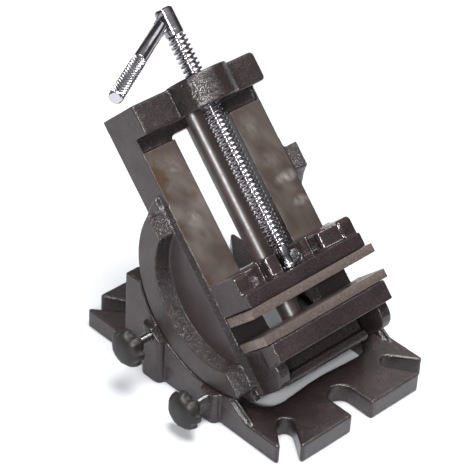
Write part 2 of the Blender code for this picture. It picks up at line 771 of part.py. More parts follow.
def make_keeper(parent, finish):
    """Cross-head screw whose head stands in the groove of the lead screw's neck."""
    centre = (KEEPER_X, KEEPER_Y)
    under = COLLAR_BOSS_TOP - KEEPER_HEAD_HEIGHT + GAP
    top = under + KEEPER_HEAD_HEIGHT
    tip = under - KEEPER_LENGTH + GAP
    rim = top - KEEPER_HEAD_HEIGHT / 3
    crown = KEEPER_HEAD_RADIUS - KEEPER_HEAD_HEIGHT / 3
    profile = [
        (KEEPER_SHANK_RADIUS, tip),
        (KEEPER_SHANK_RADIUS, under),
        (KEEPER_HEAD_RADIUS, under),
        (KEEPER_HEAD_RADIUS, rim),
        (crown, top),
    ]
    keeper = add_object("keeper_screw", lathe(profile, "Z", centre), parent, finish)
    half, reach = CROSS_WIDTH / 2, crown * 2 / 3
    for across, along in ((half, reach), (reach, half)):
        bar = rectangle(
            (KEEPER_X - across, KEEPER_Y - along), (KEEPER_X + across, KEEPER_Y + along)
        )
        cut(keeper, prism(bar, top - CROSS_DEPTH, top + OVERRUN, "Z"))


# Lead screw and lever


def thread_shape():
    """Right-hand trapezoidal thread as one closed skin, with a plain ring at each end.

    Each step round the axis has four points of the tooth: the root where it rises, both
    edges of the crest, and the root where it falls. The root strip joins one turn to the next.
    """
    shape = bmesh.new()
    flank = (1 - ROOT_SHARE - CREST_SHARE) / 2
    core = THREAD_RADIUS - THREAD_DEPTH
    tooth = [
        (core, 0),
        (THREAD_RADIUS, flank),
        (THREAD_RADIUS, flank + CREST_SHARE),
        (core, 2 * flank + CREST_SHARE),
    ]
    steps = THREAD_STEPS
    last = (THREAD_TURNS - 1) * steps
    start = THREAD_START + THREAD_PITCH * ROOT_SHARE / 2

    def at(radius, step, place):
        turn = -math.tau * step / steps
        return shape.verts.new((radius * math.cos(turn), place, radius * math.sin(turn)))

    rows = [
        [at(r, k, start + THREAD_PITCH * (k / steps + up - 1 / steps)) for r, up in tooth]
        for k in range(last + 1)
    ]
    near = [at(core, k, THREAD_START) for k in range(steps)]
    far = [at(core, last - steps + k, THREAD_END) for k in range(steps)]
    for a, b in zip(rows, rows[1:]):
        for i in range(3):
            shape.faces.new((a[i], a[i + 1], b[i + 1], b[i]))
    for k in range(last - steps):
        a, b, c, d = rows[k][3], rows[k + 1][3], rows[k + 1 + steps][0], rows[k + steps][0]
        shape.faces.new((a, b, c, d))
    for k in range(steps - 1):
        shape.faces.new((near[k], near[k + 1], rows[k + 1][0], rows[k][0]))
        tail = last - steps + k
        shape.faces.new((far[k], far[k + 1], rows[tail + 1][3], rows[tail][3]))
    shape.faces.new((near[-1], near[0], rows[0][0], rows[0][3], rows[steps][0], rows[steps - 1][0]))
    tail = rows[last - steps]
    shape.faces.new((far[-1], far[0], tail[3], rows[last][0], rows[last][3], rows[last - 1][3]))
    shape.faces.new(rows[0])
    shape.faces.new(rows[last])
    shape.faces.new(near)
    shape.faces.new(far)
    return shape


def neck_profile():
    """Smooth end of the screw inside the moving jaw, with the keeper's groove."""
    front = KEEPER_Y - NECK_GROOVE_WIDTH / 2
    back = KEEPER_Y + NECK_GROOVE_WIDTH / 2
    return [
        (NECK_RADIUS, NECK_START),
        (NECK_RADIUS, front),
        (NECK_GROOVE_RADIUS, front),
        (NECK_GROOVE_RADIUS, back),
        (NECK_RADIUS, back),
        (NECK_RADIUS, THREAD_START - LAP),
        (THREAD_RADIUS - THREAD_DEPTH - LAP, THREAD_START + LAP),
    ]


def make_lead_screw(parent, finish):
    screw = add_object("lead_screw", thread_shape(), parent, finish)
    join(screw, lathe(neck_profile(), "Y"))
    end = THREAD_END + HEAD_LENGTH
    chamfer = HEAD_RADIUS - NECK_RADIUS
    head = [
        (THREAD_RADIUS - THREAD_DEPTH - LAP, THREAD_END - LAP),
        (HEAD_RADIUS, THREAD_END),
        (HEAD_RADIUS, end - chamfer),
        (NECK_RADIUS, end),
    ]
    join(screw, lathe(head, "Y"))
    slot = rectangle((end - HEAD_SLOT_DEPTH, -HEAD_SLOT / 2), (end + OVERRUN, HEAD_SLOT / 2))
    cut(screw, prism(slot, -THREAD_RADIUS - OVERRUN, THREAD_RADIUS + OVERRUN, "X"))
    hole = circle(PIN_RADIUS + GAP, (0, PIN_Y))
    cut(screw, prism(hole, -THREAD_RADIUS - OVERRUN, THREAD_RADIUS + OVERRUN, "Z"))


def make_lever_pin(parent, finish):
    half = math.sqrt(HEAD_RADIUS**2 - PIN_RADIUS**2) - GAP
    add_object("lever_pin", prism(circle(PIN_RADIUS, (0, PIN_Y)), -half, half, "Z"), parent, finish)


def make_lever(parent, finish):
    """Lever along its own -Y from the pin, which is its origin."""
    tongue_half = LEVER_TONGUE_THICKNESS / 2
    root = arc(LEVER_RADIUS, 0, math.pi, 2 * CORNER_STEPS)
    outline = [*root, (-LEVER_RADIUS, -LEVER_TONGUE - LAP), (LEVER_RADIUS, -LEVER_TONGUE - LAP)]
    tongue = prism(outline, -tongue_half, tongue_half, "Z")
    lever = add_object("handle_lever", tongue, parent, finish)
    bar = [
        (LEVER_RADIUS, -LEVER_TONGUE),
        (LEVER_RADIUS, -GRIP_START),
        (GRIP_RADIUS, -GRIP_START - (GRIP_RADIUS - LEVER_RADIUS)),
        (GRIP_RADIUS, -LEVER_LENGTH + GRIP_ROUND),
        (GRIP_RADIUS - GRIP_ROUND, -LEVER_LENGTH),
    ]
    join(lever, lathe(bar, "Y"))
    cut(lever, prism(circle(PIN_RADIUS + GAP), -OVERRUN, OVERRUN, "Z"))


# Thumb screws


def knob_profile(start):
    """Turned outline of a knob that runs outwards, to -x, from start."""
    rim = start - KNOB_HUB_LENGTH
    face = rim - KNOB_THICKNESS
    return [
        (KNOB_HUB_RADIUS, start),
        (KNOB_HUB_RADIUS, rim),
        (KNOB_RADIUS - KNOB_DOME, rim),
        (KNOB_RADIUS, rim - KNOB_DOME),
        (KNOB_RADIUS, face + 2 * KNOB_DOME),
        (KNOB_RADIUS - KNOB_DOME, face + KNOB_DOME / 2),
        (KNOB_HUB_RADIUS, face),
    ]


def make_thumb_screw(name, parent, zinc, plastic):
    """Threaded stud through the cheek, with a lobed knob on its outer end."""
    y, z = thumb_place(name)
    tip = -CHEEK_INNER
    inner = -BASE_HALF_WIDTH - THUMB_BOSS_PROUD
    outer = inner - STUD_SHOWN
    end = outer - KNOB_HUB_LENGTH - KNOB_THICKNESS / 2
    root = STUD_RADIUS - STUD_THREAD_DEPTH
    profile = [(root, tip), (STUD_RADIUS, tip - STUD_PITCH), (STUD_RADIUS, inner)]
    for ridge in range(int(STUD_SHOWN / STUD_PITCH)):
        valley = inner - (ridge + 1 / 2) * STUD_PITCH
        profile += [(root, valley), (STUD_RADIUS, valley - STUD_PITCH / 2)]
    profile.append((STUD_RADIUS, end))
    axis = empty(f"thumb_{name}_axis", (0, y, z), parent)
    add_object(f"thumb_{name}_stud", lathe(profile, "X"), axis, zinc)
    turned = lathe(knob_profile(outer - GAP), "X", (0, 0), KNOB_SIDES)
    knob = add_object(f"thumb_{name}_knob", turned, axis, plastic)
    away = KNOB_RADIUS + KNOB_SCALLOP_RADIUS - KNOB_SCALLOP_BITE
    rim = outer - GAP - KNOB_HUB_LENGTH
    for i in range(KNOB_LOBES):
        turn = math.tau * i / KNOB_LOBES
        centre = (away * math.cos(turn), away * math.sin(turn))
        scallop = circle(KNOB_SCALLOP_RADIUS, centre, ROUND_SIDES // 2)
        cut(knob, prism(scallop, rim - KNOB_THICKNESS - OVERRUN, rim + LAP, "X"))
    cut(knob, prism(circle(STUD_RADIUS + GAP), end - GAP, outer + OVERRUN, "X"))


def main():
    clear_scene()
    paint = material("black_paint", (0.022, 0.020, 0.019), 0.34, 0.0)
    ground = material("ground_steel", (0.20, 0.17, 0.155), 0.42, 1.0)
    zinc = material("zinc_plate", (0.62, 0.62, 0.63), 0.24, 1.0)
    oiled = material("oiled_steel", (0.13, 0.11, 0.10), 0.26, 1.0)
    black_screw = material("black_screw", (0.05, 0.05, 0.05), 0.45, 1.0)
    plastic = material("black_plastic", (0.018, 0.018, 0.020), 0.42, 0.0)

    base = make_base(paint)
    for name in THUMBS:
        make_thumb_screw(name, base, zinc, plastic)

    vise = empty("tilt_axis", (0, AXIS_FROM_ORIGIN, AXIS_HEIGHT), None, (TILT, 0, 0))
    make_body(vise, paint)
    make_guide_rod(vise, oiled, black_screw)
    make_plate("fixed_jaw_plate", vise, FIXED_FACE, -1, ground, black_screw)

    jaw = empty("jaw_axis", (0, MOVING_FACE, 0), vise)
    make_moving_jaw(jaw, paint)
    make_plate("moving_jaw_plate", jaw, 0, 1, ground, black_screw)
    make_keeper(jaw, zinc)

    screw = empty("screw_axis", (0, 0, 0), jaw, (0, SCREW_TURN, 0))
    make_lead_screw(screw, zinc)
    make_lever_pin(screw, zinc)
    lever = empty("lever_axis", (0, PIN_Y, 0), screw, (0, 0, -LEVER_ANGLE))
    make_lever(lever, zinc)


main()
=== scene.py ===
"""Tilting machine vise, dressed piece by piece in the order in which it is put together."""

import math

import bmesh
import bpy
import numpy as np
from mathutils import Matrix, Vector


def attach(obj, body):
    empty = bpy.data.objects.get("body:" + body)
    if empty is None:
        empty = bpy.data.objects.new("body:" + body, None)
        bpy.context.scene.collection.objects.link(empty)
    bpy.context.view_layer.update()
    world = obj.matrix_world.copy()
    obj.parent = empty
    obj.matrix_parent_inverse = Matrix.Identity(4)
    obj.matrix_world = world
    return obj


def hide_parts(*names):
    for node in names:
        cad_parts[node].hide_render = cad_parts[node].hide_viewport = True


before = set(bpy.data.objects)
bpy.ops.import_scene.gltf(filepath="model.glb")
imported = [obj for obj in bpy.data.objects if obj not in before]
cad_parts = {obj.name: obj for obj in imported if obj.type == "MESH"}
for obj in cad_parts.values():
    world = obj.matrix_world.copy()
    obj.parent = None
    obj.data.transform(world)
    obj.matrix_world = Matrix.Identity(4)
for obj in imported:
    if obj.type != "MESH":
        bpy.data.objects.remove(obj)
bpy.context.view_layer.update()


# Base cradle
# One grey iron casting with two cheeks and six bolt slots. It comes out of sand with round
# edges, is painted thick brown-black, and is then milled on the outer faces of its cheeks. The
# left one keeps a thin film of paint, the right one stays bare for the degree scale.

TILT = math.radians(46)
TILT_AXIS = Vector((0, 0.0383, 0.0833))
CHEEK_SIDE = 0.062
LEFT_MILLED_FROM = 0.0135
RIGHT_BARE_FROM = 0.0
BASE_PASSES = 14
CHEEK_HOLD = 0.5
CAST_STEP = 0.00045
CAST_FACES = 160000
FLAT_WEIGHT = 75
# Points closer than this are one point
SAME_POINT = 3e-6
# Least share of a face's normal along an axis for the face to look that way
FACING = 0.95
# How far a face, or a point that is held, may lie from the cut that it belongs to
FACE_NEAR = 0.0002
POINT_NEAR = 0.0003
PAINT_COLOUR = (0.0135, 0.0090, 0.0093)
# Light colour of raised edges: partly worn paint, partly a painted highlight
PAINT_WEAR_AND_HIGHLIGHT = (0.105, 0.095, 0.092)
PAINT_DEPTH = 0.0003
# Light iron colour of the nodules' tips: partly worn bare, partly a painted sparkle highlight
BARE_IRON_AND_SPARKLE = (0.34, 0.32, 0.32)
MILLED_COLOUR = (0.0285, 0.0205, 0.0212)
MILLED_DEPTH = 0.00004
CHEEK_COLOUR = (0.30, 0.29, 0.285)


def colour(values, share=1.0):
    """Red, green and blue times a share, and opaque."""
    return (*(share * value for value in values), 1.0)


class Recipe:
    """The node tree of a finish, as it is put together."""

    def __init__(self, tree):
        self.tree = tree

    def add(self, kind, links=None, **settings):
        """A new node. A socket in its links is joined to it, a plain value is set on it."""
        node = self.tree.nodes.new(kind)
        for name, value in settings.items():
            setattr(node, name, value)
        for socket, value in (links or {}).items():
            if isinstance(value, bpy.types.NodeSocket):
                self.feed(value, node.inputs[socket])
            else:
                node.inputs[socket].default_value = value
        return node

    def feed(self, value, socket):
        self.tree.links.new(value, socket)

    def math(self, operation, first, second=0.0):
        return self.add("ShaderNodeMath", {0: first, 1: second}, operation=operation).outputs[0]

    def plus(self, first, second):
        return self.math("ADD", first, second)

    def times(self, first, second):
        return self.math("MULTIPLY", first, second)

    def ramp(self, value, low, high, start=0.0, end=1.0):
        """Start at low and before it, end at high and past it, and even between them."""
        links = {"Value": value, "From Min": low, "From Max": high, "To Min": start, "To Max": end}
        return self.add("ShaderNodeMapRange", links).outputs["Result"]

    def blend(self, share, first, second):
        """The first colour where the share is 0, the second where it is 1."""
        links = {0: share, 6: first, 7: second}
        return self.add("ShaderNodeMix", links, data_type="RGBA").outputs[2]

    def noise(self, place, scale, detail=3.0, rough=0.5, warp=0.0):
        """Clouds about 1 / scale metres across, with finer ones inside them."""
        links = {"Vector": place, "Scale": scale, "Detail": detail, "Roughness": rough,
                 "Distortion": warp}
        return self.add("ShaderNodeTexNoise", links).outputs["Fac"]

    def stretched(self, place, scale):
        return self.add("ShaderNodeMapping", {"Vector": place, "Scale": scale}).outputs["Vector"]

    def told_in(self, place, origin, turn=(0, 0, 0), unit=(1, 1, 1)):
        """The place in a frame that has this origin, turn and unit lengths."""
        links = {"Vector": place, "Location": origin, "Rotation": turn, "Scale": unit}
        return self.add("ShaderNodeMapping", links, vector_type="TEXTURE").outputs["Vector"]

    def told_in_body(self, place):
        """The place in the frame of the tilted body."""
        return self.told_in(place, tuple(TILT_AXIS), (TILT, 0, 0))

    def parts(self, place):
        return self.add("ShaderNodeSeparateXYZ", {"Vector": place}).outputs

    def length(self, place):
        return self.add("ShaderNodeVectorMath", {0: place}, operation="LENGTH").outputs["Value"]

    def roughen(self, shader, height, depth, strength):
        """Tilts the shader's normal as a skin of this height and depth would."""
        links = {"Height": height, "Distance": depth, "Strength": strength}
        self.feed(self.add("ShaderNodeBump", links).outputs["Normal"], shader["Normal"])


def new_group(name, inputs, outputs):
    """An empty node group. Its input Place is a vector, its other inputs and outputs numbers."""
    tree = bpy.data.node_groups.new(name, "ShaderNodeTree")
    for label in inputs:
        kind = "NodeSocketVector" if label == "Place" else "NodeSocketFloat"
        tree.interface.new_socket(label, in_out="INPUT", socket_type=kind)
    for label in outputs:
        tree.interface.new_socket(label, in_out="OUTPUT", socket_type="NodeSocketFloat")
    recipe = Recipe(tree)
    return recipe, recipe.add("NodeGroupInput").outputs, recipe.add("NodeGroupOutput").inputs


# The skin that sand leaves on iron: its height, with fine grain and small round nodules, and
# masks of its pits, its stains, the tips of the nodules, worn bare and partly a painted sparkle
# highlight, and the dust on it
sand, given, made = new_group("sand grain", ["Place", "Grain", "Nodules"],
                              ["Height", "Pits", "Stain", "Worn and sparkling tips", "Dust"])
spot = given["Place"]
lumps = sand.noise(spot, scale=130.0, detail=2.0)
grains = sand.times(sand.noise(spot, scale=1500.0, detail=2.0, rough=0.55), given["Grain"])
cells = sand.add("ShaderNodeTexVoronoi", {"Vector": spot, "Scale": 1350.0}).outputs["Distance"]
domes = sand.times(sand.times(cells, cells), given["Nodules"])
sand.feed(sand.math("SUBTRACT", sand.plus(grains, lumps), domes), made["Height"])
pits = sand.noise(spot, scale=260.0, detail=4.0, rough=0.7)
sand.feed(sand.ramp(pits, 0.60, 0.72), made["Pits"])
stains = sand.noise(spot, scale=24.0, detail=4.0, rough=0.6)
sand.feed(sand.ramp(stains, 0.38, 0.68), made["Stain"])
# Tips of the nodules lightened: partly worn to bare iron, partly painted sparkle highlights
rubbed = sand.ramp(sand.noise(spot, scale=560.0, detail=2.0), 0.47, 0.60)
sand.feed(sand.times(sand.ramp(cells, 0.26, 0.08), rubbed), made["Worn and sparkling tips"])
sand.feed(sand.noise(spot, scale=850.0, detail=4.0, rough=0.75), made["Dust"])

# How far a point lies on a raised edge, broken up because rubbing is uneven. It lightens the paint
# there: partly worn paint, partly a painted highlight along the edge
edge_wear_and_highlight, given, made = new_group("edge wear and painted highlight", ["Place"], ["Rub"])
raised = edge_wear_and_highlight.add("ShaderNodeNewGeometry").outputs["Pointiness"]
broken = edge_wear_and_highlight.noise(given["Place"], scale=330.0, detail=4.0, rough=0.65)
wear_and_highlight = edge_wear_and_highlight.times(edge_wear_and_highlight.ramp(raised, 0.53, 0.60), edge_wear_and_highlight.ramp(broken, 0.42, 0.62))
edge_wear_and_highlight.feed(wear_and_highlight, made["Rub"])


def new_material(name, base, roughness, metallic=0.0, **values):
    """A material, its recipe, the inputs of its Principled shader, and the place on the object."""
    material = bpy.data.materials.new(name)
    material.use_nodes = True
    recipe = Recipe(material.node_tree)
    shader = material.node_tree.nodes["Principled BSDF"].inputs
    shader["Base Color"].default_value = colour(base)
    shader["Roughness"].default_value = roughness
    shader["Metallic"].default_value = metallic
    for socket, value in values.items():
        shader[socket.replace("_", " ")].default_value = value
    return material, recipe, shader, recipe.add("ShaderNodeTexCoord").outputs["Object"]


def cast_paint(name, grain, nodules, shine, bare):
    """Thick enamel over sand-cast iron: grain and nodules raise its skin, shine is its roughness,
    bare is how far the tips of the nodules are lightened to the iron's colour, partly as wear and
    partly as a painted sparkle highlight."""
    material, recipe, shader, place = new_material(name, PAINT_COLOUR, shine)
    values = {"Place": place, "Grain": grain, "Nodules": nodules}
    skin = recipe.add("ShaderNodeGroup", values, node_tree=sand.tree).outputs
    edges = recipe.add("ShaderNodeGroup", {"Place": place}, node_tree=edge_wear_and_highlight.tree)
    shade = recipe.blend(skin["Stain"], colour(PAINT_COLOUR, 0.75), colour(PAINT_COLOUR, 1.35))
    dusty = recipe.ramp(skin["Dust"], 0.50, 0.68, 0.0, 0.75)
    shade = recipe.blend(dusty, shade, colour(PAINT_COLOUR, 2.3))
    # Raised edges are lightened: partly worn paint, partly a painted highlight along them
    shade = recipe.blend(recipe.times(edges.outputs["Rub"], 0.7), shade, colour(PAINT_WEAR_AND_HIGHLIGHT))
    # Tips of the nodules lightened: partly worn to bare iron, partly painted sparkle highlights
    shade = recipe.blend(recipe.times(skin["Worn and sparkling tips"], bare), shade, colour(BARE_IRON_AND_SPARKLE))
    recipe.feed(shade, shader["Base Color"])
    uneven = recipe.ramp(skin["Stain"], 0.0, 1.0, shine - 0.05, shine + 0.09)
    recipe.feed(recipe.plus(uneven, recipe.times(skin["Pits"], 0.15)), shader["Roughness"])
    recipe.roughen(shader, skin["Height"], PAINT_DEPTH, 1.0)
    return material


def milled_iron(name, tone, shine, metallic=0.0):
    """A face cut flat, with fine lines across the body, left dull under a film of paint or oil."""
    material, recipe, shader, place = new_material(name, tone, shine, metallic)
    lines = recipe.stretched(recipe.told_in_body(place), (0.05, 1, 1))
    cut = recipe.noise(lines, scale=1400.0, detail=3.0, rough=0.6)
    cloud = recipe.ramp(recipe.noise(place, scale=60.0, detail=5.0, rough=0.65), 0.35, 0.68)
    dust = recipe.noise(place, scale=850.0, detail=4.0, rough=0.75)
    shade = recipe.blend(cloud, colour(tone, 0.76), colour(tone, 1.14))
    shade = recipe.blend(recipe.ramp(cut, 0.45, 0.75, 0.0, 0.25), shade, colour(tone, 1.6))
    shade = recipe.blend(recipe.ramp(dust, 0.47, 0.66, 0.0, 0.8), shade, colour(tone, 1.9))
    recipe.feed(shade, shader["Base Color"])
    recipe.feed(recipe.ramp(cloud, 0.0, 1.0, shine + 0.06, shine - 0.05), shader["Roughness"])
    recipe.roughen(shader, cut, MILLED_DEPTH, 0.6)
    return material


enamel = cast_paint("enamel on cast iron", grain=0.55, nodules=0.40, shine=0.20, bare=0.04)
milled = milled_iron("milled iron under thin paint", MILLED_COLOUR, 0.46)
bare_cheek = milled_iron("bare ground cheek", CHEEK_COLOUR, 0.46, metallic=1.0)


def merged(node, place=Matrix()):
    """A copy of the node's mesh, moved by place, with its doubles merged."""
    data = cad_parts[node].data.copy()
    data.transform(place)
    shape = bmesh.new()
    shape.from_mesh(data)
    bmesh.ops.remove_doubles(shape, verts=shape.verts, dist=SAME_POINT)
    shape.to_mesh(data)
    shape.free()
    data.materials.clear()
    return data


def worked(data, kind, **settings):
    """The mesh after one modifier, in place of the mesh before it."""
    piece = bpy.data.objects.new("work", data)
    bpy.context.scene.collection.objects.link(piece)
    modifier = piece.modifiers.new("work", kind)
    for name, value in settings.items():
        setattr(modifier, name, value)
    seen = bpy.context.evaluated_depsgraph_get()
    after = bpy.data.meshes.new_from_object(piece.evaluated_get(seen), depsgraph=seen)
    bpy.data.objects.remove(piece)
    bpy.data.meshes.remove(data)
    return after


def points_of(data):
    """The mesh's points as rows of x, y and z."""
    points = np.empty(3 * len(data.vertices))
    data.vertices.foreach_get("co", points)
    return points.reshape(-1, 3)


def melted(data, passes, hold):
    """Every point moves half of the way to the mean of its neighbours, passes times over. That
    rounds corners and fills hollows alike. hold gives the share of it that a point resists."""
    points = points_of(data)
    count = len(points)
    edges = np.empty(2 * len(data.edges), np.int32)
    data.edges.foreach_get("vertices", edges)
    first, second = edges.reshape(-1, 2).T
    neighbours = np.bincount(edges, minlength=count)[:, None]
    share = 0.5 * (1 - hold(points))[:, None]
    for _ in range(passes):
        sums = [np.bincount(first, row[second], count) + np.bincount(second, row[first], count)
                for row in points.T]
        points += share * (np.stack(sums, -1) / neighbours - points)
    data.vertices.foreach_set("co", points.ravel())
    data.update()


def casting(node, body, place, passes, hold, finishes, choose):
    """The node's shape as it comes out of sand: remade in small even faces in its own frame, its
    edges and inner corners melted round, its flat parts thinned out again. choose gets the
    faces' centres and normals in that frame and says each one's finish."""
    data = worked(merged(node, place.inverted()), "REMESH", mode="VOXEL", voxel_size=CAST_STEP)
    melted(data, passes, hold)
    # Each remade face is a quad, which counts as two
    data = worked(data, "DECIMATE", ratio=min(1.0, CAST_FACES / (2 * len(data.polygons))))
    data.name = f"{node}_cast"
    for finish in finishes:
        data.materials.append(finish)
    count = len(data.polygons)
    centres, normals = np.empty(3 * count), np.empty(3 * count)
    data.polygons.foreach_get("center", centres)
    data.polygons.foreach_get("normal", normals)
    chosen = choose(centres.reshape(-1, 3), normals.reshape(-1, 3))
    data.polygons.foreach_set("material_index", chosen)
    data.transform(place)
    data.shade_smooth()
    piece = bpy.data.objects.new(f"{node}_cast", data)
    bpy.context.scene.collection.objects.link(piece)
    piece.modifiers.new("Flat faces", "WEIGHTED_NORMAL").weight = FLAT_WEIGHT
    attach(piece, body)
    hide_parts(node)


def base_finish(centres, normals):
    """1, milled, on the outer face of the left cheek; 2, bare, on that of the right one; 0,
    painted, elsewhere."""
    across, _, height = centres.T
    outer = (np.abs(normals[:, 0]) > FACING) & (np.abs(across) > CHEEK_SIDE - FACE_NEAR)
    left = outer & (across < 0) & (height > LEFT_MILLED_FROM)
    right = outer & (across > 0) & (height > RIGHT_BARE_FROM)
    return (left + 2 * right).astype(np.int32)


def base_hold(points):
    """The milled outer faces of the cheeks keep their edges, the rest melts."""
    return np.where(np.abs(points[:, 0]) > CHEEK_SIDE - POINT_NEAR, CHEEK_HOLD, 0.0)


base_finishes = [enamel, milled, bare_cheek]
casting("base_cradle", "base", Matrix(), BASE_PASSES, base_hold, base_finishes, base_finish)


# Tilting body
# The second casting: bed, fixed jaw, nut block and the two discs that turn in the cheeks. Its
# rails are ground bright and its sides are milled, on the right disc down to bare metal. The
# walls inside the rings keep the coarse skin of the sand, and the rest is painted.

VISE_PLACE = Matrix.Translation(TILT_AXIS) @ Matrix.Rotation(TILT, 4, "X")
PAINTED, MILLED, GROUND, BARE_RING, COARSE = range(5)
SIDE_WALL = 0.0472
DISC_SIDE = 0.061
LIP_FROM = 0.0496
RECESS_RADIUS = 0.0475
RECESS_NEAR = 0.001
# Least shares of a normal that faces the axis of the discs, or up on a rail or a lip's end
INWARD = 0.9
RAIL_FACING = 0.985
LIP_FACING = 0.99
BODY_PASSES = 12
RAIL_HOLD = 0.9
DISC_HOLD = 0.6
RAIL_NEAR = 0.0004
RAIL_TOP = -0.016
# The rails' finish is given to whole faces, so it starts well before their bare part, and up to
# there it is dark and not metallic, in the colour of the paint
RAIL_FINISH_FROM = -0.0375
RAIL_BARE_FROM = -0.012
# Along the rails, the middle of their painted sheen
RAIL_SHEEN_MIDDLE = 0.042
STAIN_FROM = -0.036
RAIL_COLOUR = (0.195, 0.150, 0.130)
# Light colour of the painted highlights on the rails
RAIL_PAINTED_HIGHLIGHT = (0.93, 0.87, 0.83)
RAIL_STAIN = (0.150, 0.085, 0.040)
RAIL_DEPTH = 0.00005
RING_COLOUR = (0.165, 0.170, 0.185)
CUTTER_CENTRE = (-0.120, -0.011, 0)
CUTTER_RADIUS = 0.075
# Painted glints on the rails, that lighten their colour: place across and along, half their width
# and length, and shine, their strength
RAIL_PAINTED_GLINTS = ((0.0390, 0.0428, 0.0105, 0.0050, 1.0), (0.0415, 0.0262, 0.0085, 0.0046, 1.0),
               (0.0350, 0.0560, 0.0110, 0.0080, 0.35), (0.0315, 0.0790, 0.0100, 0.0120, 0.35),
               (-0.0345, 0.0450, 0.0090, 0.0080, 0.65), (-0.0320, 0.0780, 0.0100, 0.0110, 0.30))


def ground_rail(name):
    """Ground steel-grey face: the fan of arcs that the cutter leaves, a painted sheen along the
    middle and painted glints, streaked along the cutter's way, and old oil stains towards the
    outer edge."""
    material, recipe, shader, place = new_material(name, RAIL_COLOUR, 0.34, metallic=1.0)
    flat = recipe.told_in_body(place)
    across, along, _ = recipe.parts(flat)

    fan = recipe.told_in(flat, CUTTER_CENTRE)
    wave = {"Vector": fan, "Scale": 230.0, "Distortion": 1.6, "Detail": 2.0, "Detail Scale": 2.5}
    rings = recipe.add("ShaderNodeTexWave", wave, wave_type="RINGS", rings_direction="Z")
    arcs = rings.outputs["Fac"]
    x, y, _ = recipe.parts(fan)
    swept = recipe.times(recipe.math("ARCTAN2", y, x), CUTTER_RADIUS)
    unrolled = recipe.add("ShaderNodeCombineXYZ", {"X": swept, "Y": recipe.length(fan)}).outputs[0]

    # Painted highlight: a sheen along the middle of each rail and oval glints, streaked, lighten
    # its colour
    clouds = recipe.ramp(recipe.noise(unrolled, scale=62.0, detail=2.0), 0.40, 0.70)
    from_middle = recipe.math("ABSOLUTE", recipe.math("SUBTRACT", along, RAIL_SHEEN_MIDDLE))
    painted_highlight = recipe.times(clouds, recipe.ramp(from_middle, 0.038, 0.004, 0.12, 0.38))
    streaks = recipe.noise(unrolled, scale=330.0, detail=3.0, rough=0.6)
    streaks = recipe.ramp(streaks, 0.36, 0.62, 0.25, 1.0)
    for glint_across, glint_along, half_width, half_length, shine in RAIL_PAINTED_GLINTS:
        oval = recipe.told_in(flat, (glint_across, glint_along, RAIL_TOP),
                              unit=(half_width, half_length, 1))
        painted_glint = recipe.ramp(recipe.length(oval), 1.0, 0.15, 0.0, shine)
        painted_highlight = recipe.math("MAXIMUM", painted_highlight, recipe.times(painted_glint, streaks))
    painted_highlight = recipe.times(painted_highlight, recipe.ramp(arcs, 0.15, 0.90, 0.62, 1.0))
    shade = recipe.blend(arcs, colour(RAIL_COLOUR, 0.975), colour(RAIL_COLOUR, 1.025))
    shade = recipe.blend(painted_highlight, shade, colour(RAIL_PAINTED_HIGHLIGHT))

    oil = recipe.noise(place, scale=60.0, detail=5.0, rough=0.7, warp=0.4)
    oil = recipe.plus(oil, recipe.ramp(across, STAIN_FROM, -SIDE_WALL, 0.0, 0.16))
    shade = recipe.blend(recipe.ramp(oil, 0.58, 0.76, 0.0, 0.75), shade, colour(RAIL_STAIN))
    # Before the bare part the face is dark and not metallic, in the paint's colour
    bare = recipe.ramp(along, RAIL_BARE_FROM - POINT_NEAR, RAIL_BARE_FROM + POINT_NEAR)
    recipe.feed(recipe.blend(bare, colour(PAINT_COLOUR), shade), shader["Base Color"])
    recipe.feed(bare, shader["Metallic"])
    recipe.feed(recipe.ramp(arcs, 0.0, 1.0, 0.38, 0.31), shader["Roughness"])
    lines = recipe.noise(recipe.stretched(flat, (1, 0.1, 1)), scale=1600.0)
    recipe.roughen(shader, recipe.plus(recipe.times(arcs, 0.3), lines), RAIL_DEPTH, 0.5)
    return material


def body_finish(centres, normals):
    """Finish of each face: milled on the flat sides, bare on the right disc, ground on the rails,
    coarse on the walls that face the axis inside the rings and on the ends of the lips."""
    x, y, z = centres.T
    out = np.abs(x)
    side = np.abs(normals[:, 0]) > FACING
    finish = np.full(len(centres), PAINTED, np.int32)
    finish[side & (out > SIDE_WALL - FACE_NEAR)] = MILLED
    finish[side & (x > DISC_SIDE - FACE_NEAR)] = BARE_RING
    rails = (normals[:, 2] > RAIL_FACING) & (np.abs(z - RAIL_TOP) < POINT_NEAR)
    finish[rails & (y > RAIL_FINISH_FROM) & (out < SIDE_WALL + FACE_NEAR)] = GROUND
    away = np.hypot(y, z)
    outward = (y * normals[:, 1] + z * normals[:, 2]) / np.maximum(away, SAME_POINT)
    wall = (np.abs(away - RECESS_RADIUS) < RECESS_NEAR) & (outward < -INWARD)
    lip_end = (normals[:, 2] > LIP_FACING) & (z < RAIL_TOP)
    finish[(out > LIP_FROM) & (wall | lip_end)] = COARSE
    return finish


def body_hold(points):
    """The rails keep their edges best, then the outer faces of the discs. The rest melts."""
    out = np.abs(points[:, 0])
    rails = (np.abs(points[:, 2] - RAIL_TOP) < RAIL_NEAR) & (out < SIDE_WALL + RAIL_NEAR)
    return np.where(rails, RAIL_HOLD, np.where(out > DISC_SIDE - POINT_NEAR, DISC_HOLD, 0.0))


rail_steel = ground_rail("ground rail")
ring_steel = milled_iron("bare milled ring", RING_COLOUR, 0.40, metallic=1.0)
# Its nodule tips are strongly lightened, partly worn bare and partly painted sparkle highlights
coarse = cast_paint("enamel on coarse cast skin", grain=0.9, nodules=2.0, shine=0.12, bare=0.80)
body_finishes = [enamel, milled, rail_steel, ring_steel, coarse]
casting("vise_body", "vise", VISE_PLACE, BODY_PASSES, body_hold, body_finishes, body_finish)


# Guide rod
# Cold-drawn steel bar, polished and brown with oil. It is pressed through the nut block and the
# fixed jaw, and a set screw holds it at each end.

